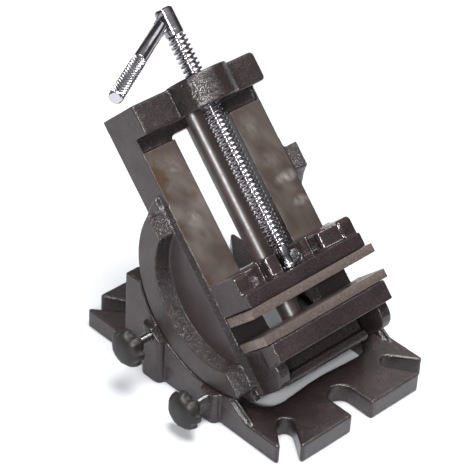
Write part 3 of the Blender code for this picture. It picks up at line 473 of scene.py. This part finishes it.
ROD_RADIUS = 0.007
ROD_Z = -0.0201
ROD_ENDS = (-0.044, 0.1129)
ROD_CHAMFER = 0.0006
ROD_SIDES = 96
ROD_COLOUR = (0.042, 0.029, 0.027)
ROD_DEPTH = 0.00005
OIL_IOR = 1.7
SMOOTH_ANGLE = 40


def turned(profile, sides):
    """Each (radius, place) pair is carried round the axis: x and z are the radius times the
    cosine and sine of the turn, y is the place."""
    radius, place = np.array(profile, float).T[:, :, None]
    turn = np.linspace(0, math.tau, sides, endpoint=False)[None]
    return np.stack(np.broadcast_arrays(radius * np.cos(turn), place, radius * np.sin(turn)), -1)


def mesh_piece(name, points, faces, place, finish, body, slot, *nodes, smooth=SMOOTH_ANGLE):
    """A piece from points and faces: doubles merged, holes closed, faces turned outwards."""
    data = bpy.data.meshes.new(name)
    data.from_pydata(np.asarray(points).tolist(), [], np.asarray(faces).tolist())
    data.transform(place)
    shape = bmesh.new()
    shape.from_mesh(data)
    bmesh.ops.remove_doubles(shape, verts=shape.verts, dist=SAME_POINT)
    bmesh.ops.dissolve_degenerate(shape, dist=SAME_POINT / 3, edges=shape.edges)
    bmesh.ops.holes_fill(shape, edges=shape.edges, sides=0)
    bmesh.ops.recalc_face_normals(shape, faces=shape.faces)
    shape.to_mesh(data)
    shape.free()
    data.materials.append(finish)
    data.shade_smooth()
    data.set_sharp_from_angle(angle=math.radians(smooth))
    piece = bpy.data.objects.new(name, data)
    bpy.context.scene.collection.objects.link(piece)
    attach(piece, body)
    if nodes:
        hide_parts(*nodes)


def add_piece(name, grid, *rest, ring=True, **settings):
    """A piece from a grid of points, row by row. As a ring, its last column joins its first."""
    rows, columns = grid.shape[:2]
    number = np.arange(rows * columns).reshape(rows, columns)
    after = np.roll(number, -1, axis=1) if ring else number[:, 1:]
    before = number if ring else number[:, :-1]
    faces = np.stack([before[:-1], after[:-1], after[1:], before[1:]], -1).reshape(-1, 4)
    mesh_piece(name, grid.reshape(-1, 3), faces, *rest, **settings)


def bar(radius, low, high, chamfer):
    """Profile of a plain round bar with chamfered ends, closed at both poles."""
    corners = [(radius - chamfer, low), (radius, low + chamfer), (radius, high - chamfer)]
    return [(0, low), *corners, (radius - chamfer, high), (0, high)]


def polished_bar(name, tone, shine, streaks, depth, metallic=1.0, hollow_shade=None, **values):
    """Drawn or turned steel: fine rings round the axis and small specks, under soft clouds of oil.
    Where a colour for the hollows is given, they are darkened to it as painted shade, in place of
    the clouds."""
    material, recipe, shader, place = new_material(name, tone, shine, metallic, **values)
    if hollow_shade:
        # The hollows get painted shade: darker where the surface is hollow
        raised = recipe.add("ShaderNodeNewGeometry").outputs["Pointiness"]
        shade = recipe.blend(recipe.ramp(raised, 0.44, 0.52), colour(hollow_shade), colour(tone))
    else:
        cloud = recipe.ramp(recipe.noise(place, scale=120.0, detail=4.0, rough=0.6), 0.35, 0.7)
        shade = recipe.blend(cloud, colour(tone, 0.72), colour(tone, 1.22))
    recipe.feed(shade, shader["Base Color"])
    rings = recipe.stretched(recipe.told_in_body(place), (0.03, 1, 0.03))
    lines = recipe.noise(rings, scale=streaks, detail=4.0, rough=0.6)
    recipe.feed(recipe.ramp(lines, 0.3, 0.7, shine - 0.05, shine + 0.08), shader["Roughness"])
    specks = recipe.ramp(recipe.noise(place, scale=700.0, detail=2.0), 0.66, 0.74)
    recipe.roughen(shader, recipe.plus(lines, recipe.times(specks, 0.6)), depth, 0.5)
    return material


oiled_steel = polished_bar("oiled bar steel", ROD_COLOUR, 0.37, 900.0, ROD_DEPTH, metallic=0.0,
                           IOR=OIL_IOR)
rod = turned(bar(ROD_RADIUS, *ROD_ENDS, ROD_CHAMFER), ROD_SIDES)
rod_place = VISE_PLACE @ Matrix.Translation((0, 0, ROD_Z))
add_piece("guide_bar", rod, rod_place, oiled_steel, "vise", "oiled_steel", "guide_rod")


# Moving jaw
# The third casting, smoother than the others, with two hollows beside the boss of the screw. It
# is painted but for the two sides of its foot, which are milled to slide between the rails.

JAW_SIDE = 0.0474
JAW_PASSES = 10
JAW_HOLD = 0.5


def jaw_finish(centres, normals):
    """1, milled, on both sides of the foot; 0, painted, elsewhere."""
    outer = (np.abs(normals[:, 0]) > FACING) & (np.abs(centres[:, 0]) > JAW_SIDE)
    return outer.astype(np.int32)


def jaw_hold(points):
    """The milled sides keep their edges, the rest melts."""
    return np.where(np.abs(points[:, 0]) > JAW_SIDE - POINT_NEAR, JAW_HOLD, 0.0)


glossy = cast_paint("smooth enamel", grain=0.10, nodules=0.04, shine=0.13, bare=0.0)
casting("moving_jaw", "jaw", VISE_PLACE, JAW_PASSES, jaw_hold, [glossy, milled], jaw_finish)


# Jaw plates and their screws
# Two ground steel plates, each held by two black countersunk socket screws. They are ground
# lengthways and bare. The set screws of the guide rod have the black of the socket screws.

PLATE_ROUND = 0.0003
EDGE_ANGLE = math.radians(28)
FLAT_ANGLE = math.radians(1)
PLATE_COLOUR = (0.150, 0.120, 0.108)
OXIDE_COLOUR = (0.045, 0.043, 0.042)
OXIDE_DEPTH = 0.00003


def ground_plate(node, body):
    """The plate with its flat faces whole and its edges rounded by a small bevel."""
    data = merged(node)
    shape = bmesh.new()
    shape.from_mesh(data)
    bmesh.ops.dissolve_limit(shape, angle_limit=FLAT_ANGLE, verts=shape.verts, edges=shape.edges)
    shape.to_mesh(data)
    shape.free()
    data.name = f"{node}_ground"
    data.materials.append(plate_steel)
    data.shade_smooth()
    piece = bpy.data.objects.new(f"{node}_ground", data)
    bpy.context.scene.collection.objects.link(piece)
    rounding = piece.modifiers.new("Rounding", "BEVEL")
    rounding.width = PLATE_ROUND
    rounding.segments = 2
    rounding.limit_method = "ANGLE"
    rounding.angle_limit = EDGE_ANGLE
    rounding.harden_normals = True
    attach(piece, body)
    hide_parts(node)


plate_steel = milled_iron("ground jaw plate", PLATE_COLOUR, 0.44, metallic=0.85)
ground_plate("fixed_jaw_plate", "vise")
ground_plate("moving_jaw_plate", "jaw")

black_oxide = polished_bar("black oxide", OXIDE_COLOUR, 0.38, 1300.0, OXIDE_DEPTH)
black_screws = [f"{jaw}_jaw_plate_screw_{end}" for jaw in ("fixed", "moving")
                for end in ("left", "right")]
for node in [*black_screws, "rod_set_screw_front", "rod_set_screw_rear"]:
    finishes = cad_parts[node].data.materials
    finishes.clear()
    finishes.append(black_oxide)


# Keeper screw
# Zinc-plated pan screw with a cross recess, driven into the moving jaw. The rim of its head
# stands in the neck groove of the lead screw and keeps that in the jaw.

HEAD_HEIGHT = 0.0026
CROWN = 0.0006
CROSS_HALF = 0.00055
CROSS_REACH = 0.0023
CROSS_SLOPE = 0.0003
CROSS_DEPTH = 0.0009
ZINC_COLOUR = (0.30, 0.295, 0.30)
ZINC_DEPTH = 0.00003


def cross_head(low, high, rows=36, columns=96):
    """Head of a pan screw between two corners of its box: a dome that falls with the square of
    the distance from its axis, less a cross with sloping walls, then its side and underside."""
    radius, centre, foot = (high[0] - low[0]) / 2, (low + high) / 2, high[2] - HEAD_HEIGHT
    share = np.linspace(0, 1, rows)[:, None]
    turn = np.linspace(0, math.tau, columns, endpoint=False)[None]
    x, y = share * radius * np.cos(turn), share * radius * np.sin(turn)
    near, far = np.minimum(np.abs(x), np.abs(y)), np.maximum(np.abs(x), np.abs(y))
    within_width = np.clip((CROSS_HALF - near) / CROSS_SLOPE + 0.5, 0, 1)
    within_length = np.clip((CROSS_REACH - far) / CROSS_SLOPE, 0, 1)
    height = high[2] - CROWN * share**2 - CROSS_DEPTH * within_width * within_length
    top = np.stack([centre[0] + x, centre[1] + y, height], -1)
    rim = top[-1:] * (1, 1, 0) + (0, 0, foot)
    return np.concatenate([top, rim, np.broadcast_to((*centre[:2], foot), rim.shape)])


zinc = polished_bar("bright zinc", ZINC_COLOUR, 0.26, 1500.0, ZINC_DEPTH)
keeper = merged("keeper_screw", VISE_PLACE.inverted())
keeper_points = points_of(keeper)
bpy.data.meshes.remove(keeper)
keeper_head = cross_head(keeper_points.min(0), keeper_points.max(0))
add_piece("keeper_head", keeper_head, VISE_PLACE, zinc, "jaw", "zinc_plate", "keeper_screw",
          smooth=32)


# Lead screw
# Turned from bar with a trapezoidal thread, then chrome plated. Its plain neck turns in the
# moving jaw, and the slotted head at its other end holds the lever.

MOVING_FACE = -0.0204
SCREW_TURN = math.radians(24)
SCREW_FOOT = VISE_PLACE @ Matrix.Translation((0, MOVING_FACE, 0))
SCREW_PLACE = SCREW_FOOT @ Matrix.Rotation(SCREW_TURN, 4, "Y")
SCREW_RADIUS = 0.006
SCREW_CORE = 0.00435
SCREW_PITCH = 0.003
THREAD_START, THREAD_END = 0.0284, 0.1664
THREAD_STEPS = 40
NECK_RADIUS = 0.0045
NECK_START = 0.0149
NECK_END = THREAD_START + 0.0004
GROOVE_START, GROOVE_END = 0.0171, 0.0227
GROOVE_RADIUS = 0.0032
COLLAR_START = THREAD_END - 0.001
COLLAR_FULL = THREAD_END + 0.0006
HEAD_RADIUS = 0.0058
HEAD_END = 0.1839
FORK_BOTTOM = 0.1704
FORK_HALF = 0.0023
FORK_ROUND = 0.0013
FORK_SINK = 0.0005
TURNED_EASE = 0.0003
TURNED_SIDES = 64
CHROME_COLOUR = (0.34, 0.325, 0.35)
CHROME_DEPTH = 0.00002
# One pitch of the thread as shares of the pitch and of the thread's depth, with eased corners
TOOTH = ((0.00, 0.00), (0.17, 0.00), (0.20, 0.04), (0.23, 0.22), (0.30, 0.86), (0.33, 0.97),
         (0.37, 1.00), (0.67, 1.00), (0.71, 0.97), (0.74, 0.86), (0.81, 0.22), (0.84, 0.04),
         (0.87, 0.00), (1.00, 0.00))


def eased(profile, ease, steps=3):
    """The profile with each inner corner replaced by a parabola that starts and ends an ease
    away from it, or at a third of the leg where the leg is short."""
    points = np.array(profile, float)
    legs_done = [points[:1]]
    share = np.linspace(0, 1, steps + 1)[:, None]
    for before, corner, after in zip(points, points[1:], points[2:]):
        legs = before - corner, after - corner
        lengths = [max(np.hypot(*leg), SAME_POINT) for leg in legs]
        reach = [min(ease, length / 3) / length for length in lengths]
        start, end = (corner + leg * part for leg, part in zip(legs, reach))
        bend = (1 - share) ** 2 * start + 2 * share * (1 - share) * corner + share**2 * end
        legs_done.append(bend)
    return np.concatenate([*legs_done, points[-1:]])


def threaded(core, crest, pitch, low, high, steps, fade=0.5):
    """Right-hand thread: each row of one tooth's points moves along by a pitch for every turn,
    clipped to the thread's ends, where the tooth sinks into the core over a fade of a turn."""
    turns = int((high - low) / pitch) + 2
    step = np.arange(turns * steps + 1)[:, None]
    along, rise = np.array(TOOTH).T[:, None]
    place = low + pitch * (step / steps + along - 1)
    inside = np.clip(np.minimum(place - low, high - place) / (fade * pitch), 0, 1)
    radius = core + (crest - core) * rise * inside
    turn = -math.tau * step / steps
    place = np.clip(place, low, high)
    return np.stack(np.broadcast_arrays(radius * np.cos(turn), place, radius * np.sin(turn)), -1)


def fork_prong(side, rows=14, columns=24):
    """One prong of the slotted head: at each place along it a D section, whose arc is the head's
    radius and whose flat is the slot's wall; the D shrinks over the last round of the end."""
    place = np.linspace(FORK_BOTTOM - FORK_SINK, HEAD_END, rows)[:, None]
    over = np.clip((place - (HEAD_END - FORK_ROUND)) / FORK_ROUND, 0, 1)
    radius = HEAD_RADIUS - FORK_ROUND * (1 - np.sqrt(np.clip(1 - over**2, 0, 1)))
    turn = np.linspace(-1, 1, columns)[None] * np.arccos(FORK_HALF / radius)
    x, z = radius * np.sin(turn), side * radius * np.cos(turn)
    return np.stack(np.broadcast_arrays(x, place, z), -1)


chrome = polished_bar("chrome plate", CHROME_COLOUR, 0.15, 1500.0, CHROME_DEPTH)
on_screw = SCREW_PLACE, chrome, "screw", "zinc_plate"
thread = threaded(SCREW_CORE, SCREW_RADIUS, SCREW_PITCH, THREAD_START, THREAD_END, THREAD_STEPS)
add_piece("screw_thread", thread, *on_screw, "lead_screw", ring=False)
neck = [(0, NECK_START), (NECK_RADIUS, NECK_START), (NECK_RADIUS, GROOVE_START),
        (GROOVE_RADIUS, GROOVE_START), (GROOVE_RADIUS, GROOVE_END), (NECK_RADIUS, GROOVE_END),
        (NECK_RADIUS, THREAD_START), (SCREW_CORE, NECK_END), (0, NECK_END)]
add_piece("screw_neck", turned(eased(neck, TURNED_EASE), TURNED_SIDES), *on_screw)
collar = [(0, COLLAR_START), (SCREW_CORE, COLLAR_START), (HEAD_RADIUS, COLLAR_FULL),
          (HEAD_RADIUS, FORK_BOTTOM), (0, FORK_BOTTOM)]
add_piece("screw_collar", turned(eased(collar, TURNED_EASE), TURNED_SIDES), *on_screw)
add_piece("screw_prong_upper", fork_prong(1), *on_screw, smooth=35)
add_piece("screw_prong_lower", fork_prong(-1), *on_screw, smooth=35)


# Lever pin
# Plain zinc-plated rivet. It goes through both prongs of the fork and the flat end of the lever,
# and its ends are peened over into low crowns.

PIN_Y = 0.1784
PIN_RADIUS = 0.0018
PIN_HALF = 0.0054
PIN_CROWN = 0.0005
PIN_SIDES = 32

half_pin = [(PIN_RADIUS, PIN_HALF), (0.6 * PIN_RADIUS, PIN_HALF + 0.8 * PIN_CROWN),
            (0, PIN_HALF + PIN_CROWN)]
whole_pin = [(radius, -place) for radius, place in half_pin[::-1]] + half_pin
pin = turned(eased(whole_pin, TURNED_EASE), PIN_SIDES)
pin_middle = SCREW_PLACE @ Matrix.Translation((0, PIN_Y, 0))
pin_place = pin_middle @ Matrix.Rotation(math.pi / 2, 4, "X")
add_piece("lever_rivet", pin, pin_place, zinc, "screw", "zinc_plate", "lever_pin")


# Handle lever
# Chrome-plated bar. One end is milled flat to fold in the fork, and the other carries a grip
# with a diamond knurl, rolled in before plating.

LEVER_ANGLE = math.radians(70)
LEVER_PLACE = pin_middle @ Matrix.Rotation(-LEVER_ANGLE, 4, "Z")
LEVER_RADIUS = 0.0041
LEVER_LENGTH = 0.096
LEVER_FLAT = 0.0125
LEVER_EASE = 0.0004
TONGUE_HALF = 0.002
TONGUE_SINK = 0.0005
GRIP_START = 0.053
GRIP_RADIUS = 0.0045
GRIP_END_ROUND = 0.0007
KNURL_AROUND = 14
KNURL_PITCH = 0.0028
KNURL_DEPTH = 0.00060
KNURL_STEEPNESS = 1.6
KNURL_FADE = 0.0006
KNURL_COLOUR = (0.50, 0.49, 0.52)
# Colour of the painted shade in the knurl's grooves
KNURL_HOLLOW_SHADE = (0.07, 0.066, 0.07)


def tongue(columns=33):
    """Flat end of the lever: a half round at the pin drawn out to the bar, between two flats. Its
    outline is a little smaller on the flats than between them, which breaks its edges."""
    turn = np.linspace(0, math.pi, columns)
    round_end = LEVER_RADIUS * np.stack([np.cos(turn), np.sin(turn)], -1)
    low = -LEVER_FLAT - TONGUE_SINK
    x, y = np.concatenate([round_end, [[-LEVER_RADIUS, low], [LEVER_RADIUS, low]]]).T
    size = np.array([0.94, 1, 1, 0.94])[:, None]
    height = TONGUE_HALF * np.array([-1, -0.86, 0.86, 1])[:, None]
    return np.stack(np.broadcast_arrays(x * size, np.where(y > 0, y * size, y), height), -1)


def knurled_grip(around=6, along=6):
    """Radius of the grip plus a diamond: the lower of two tent waves that wind round it in
    opposite ways, so that grooves cross and leave small pyramids. It fades out at both ends."""
    length = LEVER_LENGTH - GRIP_START
    columns, rows = KNURL_AROUND * around, int(length / KNURL_PITCH * along)
    turn = np.arange(columns)[None] / columns
    place = np.linspace(0, 1, rows)[:, None] * length
    first = np.abs((turn * KNURL_AROUND + place / KNURL_PITCH) % 1 * 2 - 1)
    second = np.abs((turn * KNURL_AROUND - place / KNURL_PITCH) % 1 * 2 - 1)
    tent = np.minimum(np.minimum(first, second) * KNURL_STEEPNESS, 1)
    fade = np.clip(np.minimum(place, length - place - GRIP_END_ROUND) / KNURL_FADE, 0, 1)
    end = np.clip((place - (length - GRIP_END_ROUND)) / GRIP_END_ROUND, 0, 1)
    rounding = 0.8 * GRIP_END_ROUND * (1 - np.sqrt(1 - end**2))
    radius = GRIP_RADIUS - KNURL_DEPTH * (1 - tent * fade) - rounding
    x, z = radius * np.cos(math.tau * turn), radius * np.sin(math.tau * turn)
    grip = np.stack(np.broadcast_arrays(x, -GRIP_START - place, z), -1)
    on_axis = (0, 1, 0)
    return np.concatenate([grip[:1] * on_axis, grip, grip[-1:] * on_axis])


lever_bar = [(0, -LEVER_FLAT), (LEVER_RADIUS, -LEVER_FLAT), (LEVER_RADIUS, -GRIP_START),
             (0, -GRIP_START)]
add_piece("lever_bar", turned(eased(lever_bar, LEVER_EASE), TURNED_SIDES), LEVER_PLACE, chrome,
          "lever", "zinc_plate", "handle_lever")
add_piece("lever_tongue", tongue(), LEVER_PLACE, chrome, "lever", "zinc_plate", smooth=30)
knurl_chrome = polished_bar("chrome on knurling", KNURL_COLOUR, 0.20, 1500.0, CHROME_DEPTH,
                            hollow_shade=KNURL_HOLLOW_SHADE)
add_piece("lever_grip", knurled_grip(), LEVER_PLACE, knurl_chrome, "lever", "zinc_plate",
          smooth=18)


# Thumb screws
# Two zinc-plated studs in the left cheek, one near each end of it. Each has a knob of black
# plastic moulded on, with seven scallops for the fingers, and its point holds the disc's lip.

STUD_RADIUS = 0.003
STUD_CORE = 0.0024
STUD_PITCH = 0.001
STUD_STEPS = 28
STUD_TIP = -0.0515
STUD_END = -0.0850
KNOB_FOOT = -0.0761
KNOB_RADIUS = 0.0124
KNOB_HUB_RADIUS = 0.0062
KNOB_HUB_LENGTH = 0.0045
KNOB_THICKNESS = 0.0095
KNOB_FILLET = 0.0016
KNOB_LOBES = 7
# How far up the dome the scallops reach, and how round it is: a quarter circle at a power of 1
SCALLOP_END = 2 / 3
DOME_POWER = 0.62
SCALLOP_RADIUS = 0.0042
SCALLOP_BITE = 0.0021
SCALLOP_EASE = 0.0004
PLASTIC_COLOUR = (0.0085, 0.0068, 0.0066)
PLASTIC_GLOSS = 0.32
PLASTIC_DEPTH = 0.00006
THUMB_PLACES = {"rear": (0.0828, 0.03228), "front": (0.0326, 0.016844)}


def lobed(turn):
    """Radius of the knob's rim: the full radius, or the near wall of the nearest scallop, a
    circle whose centre lies outside the rim. The smaller of the two, eased where they meet."""
    centre = KNOB_RADIUS + SCALLOP_RADIUS - SCALLOP_BITE
    way = (turn * KNOB_LOBES / math.tau + 0.5) % 1 - 0.5
    way = way * math.tau / KNOB_LOBES
    inside = np.clip(SCALLOP_RADIUS**2 - (centre * np.sin(way)) ** 2, 0, None)
    near = np.where(inside > 0, centre * np.cos(way) - np.sqrt(inside), 2 * KNOB_RADIUS)
    return -SCALLOP_EASE * np.logaddexp(-KNOB_RADIUS / SCALLOP_EASE, -near / SCALLOP_EASE)


def knob_surface(sides=168):
    """Rings of points along the axis: the hub, a fillet out of the back that is a quarter circle,
    and a dome whose rim goes from lobed to round and whose radius falls as a power of a cosine
    while its place rises as the sine."""
    turn = np.linspace(0, math.tau, sides, endpoint=False)[None]
    rim = lobed(turn)
    back = KNOB_FOOT - KNOB_HUB_LENGTH
    hub = np.array([(0, KNOB_FOOT), (0.92, KNOB_FOOT), (1, KNOB_FOOT - 0.0005),
                    (1, back + 0.0006), (1.12, back)])
    hub_radius = KNOB_HUB_RADIUS * hub[:, :1] * np.ones_like(turn)
    bend = math.pi / 2 * np.linspace(0, 1, 9)[1:, None]
    back_radius = rim - KNOB_FILLET * (1 - np.sin(bend))
    back_place = back - KNOB_FILLET * (1 - np.cos(bend))
    share = np.linspace(0, 1, 22)[1:, None]
    bend = math.pi / 2 * share
    reach = np.where(share < 1, np.cos(bend) ** DOME_POWER, 0)
    lobes = np.maximum(0, 1 - share / SCALLOP_END)
    dome_radius = np.minimum((rim * lobes + KNOB_RADIUS * (1 - lobes)) * reach, rim)
    dome_place = back - KNOB_FILLET - (KNOB_THICKNESS - KNOB_FILLET) * np.sin(bend)
    radius = np.concatenate([hub_radius, back_radius, dome_radius])
    place = np.concatenate([hub[:, 1:], back_place, dome_place])
    return np.stack(np.broadcast_arrays(place, radius * np.cos(turn), radius * np.sin(turn)), -1)


def moulded_plastic(name):
    """Black plastic with the fine grain of its mould and soft clouds of dust that lighten it here
    and there.
    """
    material, recipe, shader, place = new_material(name, PLASTIC_COLOUR, 0.42,
                                                   Specular_IOR_Level=PLASTIC_GLOSS)
    cloud = recipe.ramp(recipe.noise(place, scale=140.0, detail=4.0, rough=0.6), 0.4, 0.7)
    shade = recipe.blend(cloud, colour(PLASTIC_COLOUR), colour(PLASTIC_COLOUR, 1.5))
    recipe.feed(shade, shader["Base Color"])
    recipe.feed(recipe.ramp(cloud, 0.0, 1.0, 0.44, 0.56), shader["Roughness"])
    grain = recipe.noise(place, scale=1800.0, detail=3.0, rough=0.6)
    recipe.roughen(shader, grain, PLASTIC_DEPTH, 0.5)
    return material


black_plastic = moulded_plastic("moulded black plastic")
stud = threaded(STUD_CORE, STUD_RADIUS, STUD_PITCH, -STUD_TIP, -STUD_END, STUD_STEPS)
for name, (y, z) in THUMB_PLACES.items():
    thumb_place = Matrix.Translation((0, y, z))
    stud_place = thumb_place @ Matrix.Rotation(math.pi / 2, 4, "Z")
    add_piece(f"stud_{name}", stud, stud_place, zinc, f"thumb_{name}_stud", "zinc_plate",
              f"thumb_{name}_stud", ring=False)
    add_piece(f"knob_{name}", knob_surface(), thumb_place, black_plastic, f"thumb_{name}_knob",
              "black_plastic", f"thumb_{name}_knob")


# Degree scale
# Lines every degree on the bare face of the right-hand cheek, numbered every ten, and an index
# line across the rim of the disc, all printed in black. The index stands at the tilt of the
# body, 46 at rest.

SCALE_ZERO = math.radians(-90)
SCALE_LAST = 60
SCALE_START = 0.0641
TICKS = {10: 0.0100, 5: 0.0070, 1: 0.0045}
TICK_WIDTH = 0.00042
INDEX_START = 0.0550
INDEX_LENGTH = 0.0066
INDEX_WIDTH = 0.0006
MARK_PROUD = 0.00004
DIGIT_SIZE = 0.0062
DIGIT_RADIUS = 0.0728
DIGIT_GAP = 0.0006
INK = (0.012, 0.012, 0.013)
INK_FADED = (0.05, 0.05, 0.05)


def ticks(degrees, start, lengths, width):
    """Four corners of each line: along its own radius, from the start outwards, and half the
    width to each side of that radius."""
    turn = SCALE_ZERO + np.radians(degrees)
    away = np.stack([np.cos(turn), np.sin(turn)], -1)
    across = np.stack([-away[:, 1], away[:, 0]], -1) * width / 2
    inner, outer = away * start, away * (start + lengths)[:, None]
    corners = [outer - across, outer + across, inner + across, inner - across]
    return np.stack(corners, 1).reshape(-1, 2)


def flat_marks(name, corners, x, place, body):
    """Thin closed plates, one for each four corners, standing a hair proud of a face. A plate's
    corners 0 to 3 lie in the face, and 4 to 7 over them."""
    total = len(corners)
    low = np.column_stack([np.full(total, x - MARK_PROUD), corners])
    high = np.column_stack([np.full(total, x + MARK_PROUD), corners])
    plate = np.array([(0, 1, 2, 3), (7, 6, 5, 4), (0, 4, 5, 1), (1, 5, 6, 2), (2, 6, 7, 3),
                      (3, 7, 4, 0)])
    first = np.arange(0, total, 4)[:, None, None]
    faces = first + np.where(plate < 4, plate, plate - 4 + total)
    mesh_piece(name, np.concatenate([low, high]), faces.reshape(-1, 4), place, scale_ink, body,
               "black_paint")


def standing(right, up, back, centre):
    """The place of something at a centre, whose own three directions point these ways."""
    columns = right, up, back, centre
    return Matrix([[column[i] for column in columns] for i in range(3)] + [[0, 0, 0, 1]])


def scale_number(value):
    """The number beside the end of its line, its foot away from the disc, ending a gap short of
    the line."""
    letters = bpy.data.curves.new(f"number_{value}", "FONT")
    letters.body = str(value)
    letters.size = DIGIT_SIZE
    letters.align_x = "RIGHT"
    letters.align_y = "CENTER"
    letters.extrude = MARK_PROUD
    writing = bpy.data.objects.new(f"number_{value}", letters)
    data = bpy.data.meshes.new_from_object(writing)
    bpy.data.objects.remove(writing)
    bpy.data.curves.remove(letters)
    turn = SCALE_ZERO + math.radians(value)
    along = Vector((0, -math.sin(turn), math.cos(turn)))
    up = Vector((0, -math.cos(turn), -math.sin(turn)))
    centre = Vector((CHEEK_SIDE, 0, 0)) - DIGIT_RADIUS * up - DIGIT_GAP * along
    data.transform(Matrix.Translation(TILT_AXIS) @ standing(along, up, Vector((1, 0, 0)), centre))
    data.materials.clear()
    data.materials.append(scale_ink)
    piece = bpy.data.objects.new(f"scale_number_{value}", data)
    bpy.context.scene.collection.objects.link(piece)
    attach(piece, "base")


scale_ink, recipe, shader, place = new_material("scale ink", INK, 0.6)
faded = recipe.ramp(recipe.noise(place, scale=900.0), 0.45, 0.75, 0.0, 0.35)
recipe.feed(recipe.blend(faded, colour(INK), colour(INK_FADED)), shader["Base Color"])

degrees = np.arange(SCALE_LAST + 1)
short_or_half = np.where(degrees % 5 == 0, TICKS[5], TICKS[1])
lengths = np.where(degrees % 10 == 0, TICKS[10], short_or_half)
scale_lines = ticks(degrees, SCALE_START, lengths, TICK_WIDTH)
flat_marks("scale_lines", scale_lines, CHEEK_SIDE, Matrix.Translation(TILT_AXIS), "base")
index_line = ticks(np.array([0.0]), INDEX_START, np.array([INDEX_LENGTH]), INDEX_WIDTH)
flat_marks("scale_index", index_line, DISC_SIDE, VISE_PLACE, "vise")
for value in range(0, SCALE_LAST + 1, 10):
    scale_number(value)


# Studio
# A floor of pale paper that runs out of sight, under a sky that is bright overhead and dim at
# the sides. A small key lamp stands at the left, a large lamp hangs overhead, and a weak one
# behind gives the bright metal something to mirror.

FLOOR_REACH = 6.0
FLOOR_POINTS = 9
PAPER = (0.46, 0.468, 0.485)
PAPER_LIGHT = (0.49, 0.494, 0.505)
SKY_LOW = (0.09, 0.088, 0.09)
SKY_HIGH = (0.75, 0.75, 0.76)
CAMERA_RIGHT = Vector((0.72331, -0.68901, 0.04571))
CAMERA_DOWN = Vector((-0.38230, -0.45470, -0.80443))
CAMERA_AHEAD = Vector((0.57504, 0.56438, -0.59229))
CAMERA_PLACE = Vector((-0.71772, -0.62266, 0.81541))
CAMERA_LENS = 158.9
CAMERA_SENSOR = 36.0
CAMERA_SEES = 20.0

floor_data = bpy.data.meshes.new("floor")
span = np.linspace(-FLOOR_REACH, FLOOR_REACH, FLOOR_POINTS)
grid = np.stack(np.meshgrid(span, span, [0.0], indexing="ij"), -1).reshape(-1, 3)
number = np.arange(FLOOR_POINTS**2).reshape(FLOOR_POINTS, FLOOR_POINTS)
tiles = np.stack([number[:-1, :-1], number[1:, :-1], number[1:, 1:], number[:-1, 1:]], -1)
floor_data.from_pydata(grid.tolist(), [], tiles.reshape(-1, 4).tolist())
floor = bpy.data.objects.new("floor", floor_data)
bpy.context.scene.collection.objects.link(floor)
paper, recipe, shader, place = new_material("white paper", PAPER, 0.9)
mottle = recipe.ramp(recipe.noise(place, scale=30.0), 0.3, 0.7, 0.0, 0.3)
recipe.feed(recipe.blend(mottle, colour(PAPER), colour(PAPER_LIGHT)), shader["Base Color"])
floor_data.materials.append(paper)

world = bpy.data.worlds.new("studio")
bpy.context.scene.world = world
world.use_nodes = True
sky = Recipe(world.node_tree)
height = sky.parts(sky.add("ShaderNodeTexCoord").outputs["Generated"])["Z"]
shade = sky.blend(sky.ramp(height, 0.42, 0.92), colour(SKY_LOW), colour(SKY_HIGH))
background = world.node_tree.nodes["Background"].inputs
background["Strength"].default_value = 1.0
sky.feed(shade, background["Color"])


def lamp(name, place, target, size, power):
    """A square lamp at place that faces target."""
    data = bpy.data.lights.new(name, "AREA")
    data.size = size
    data.energy = power
    light = bpy.data.objects.new(name, data)
    aim = (Vector(target) - Vector(place)).to_track_quat("-Z", "Y")
    light.matrix_world = Matrix.Translation(place) @ aim.to_matrix().to_4x4()
    bpy.context.scene.collection.objects.link(light)


lamp("key", place=(-0.988, -0.663, 0.894), target=(0, 0.03, 0.09), size=0.16, power=22.5)
lamp("high", place=(0.03, -0.10, 1.5), target=(0, 0.03, 0.05), size=0.85, power=51.0)
lamp("card", place=(1.08, 0.46, 0.72), target=(0, 0.14, 0.17), size=0.45, power=1.3)

camera_data = bpy.data.cameras.new("camera")
camera_data.sensor_width = CAMERA_SENSOR
camera_data.lens = CAMERA_LENS
camera_data.clip_end = CAMERA_SEES
camera = bpy.data.objects.new("camera", camera_data)
camera.matrix_world = standing(CAMERA_RIGHT, -CAMERA_DOWN, -CAMERA_AHEAD, CAMERA_PLACE)
bpy.context.scene.collection.objects.link(camera)
bpy.context.scene.camera = camera
bpy.context.scene.view_settings.view_transform = "Standard"
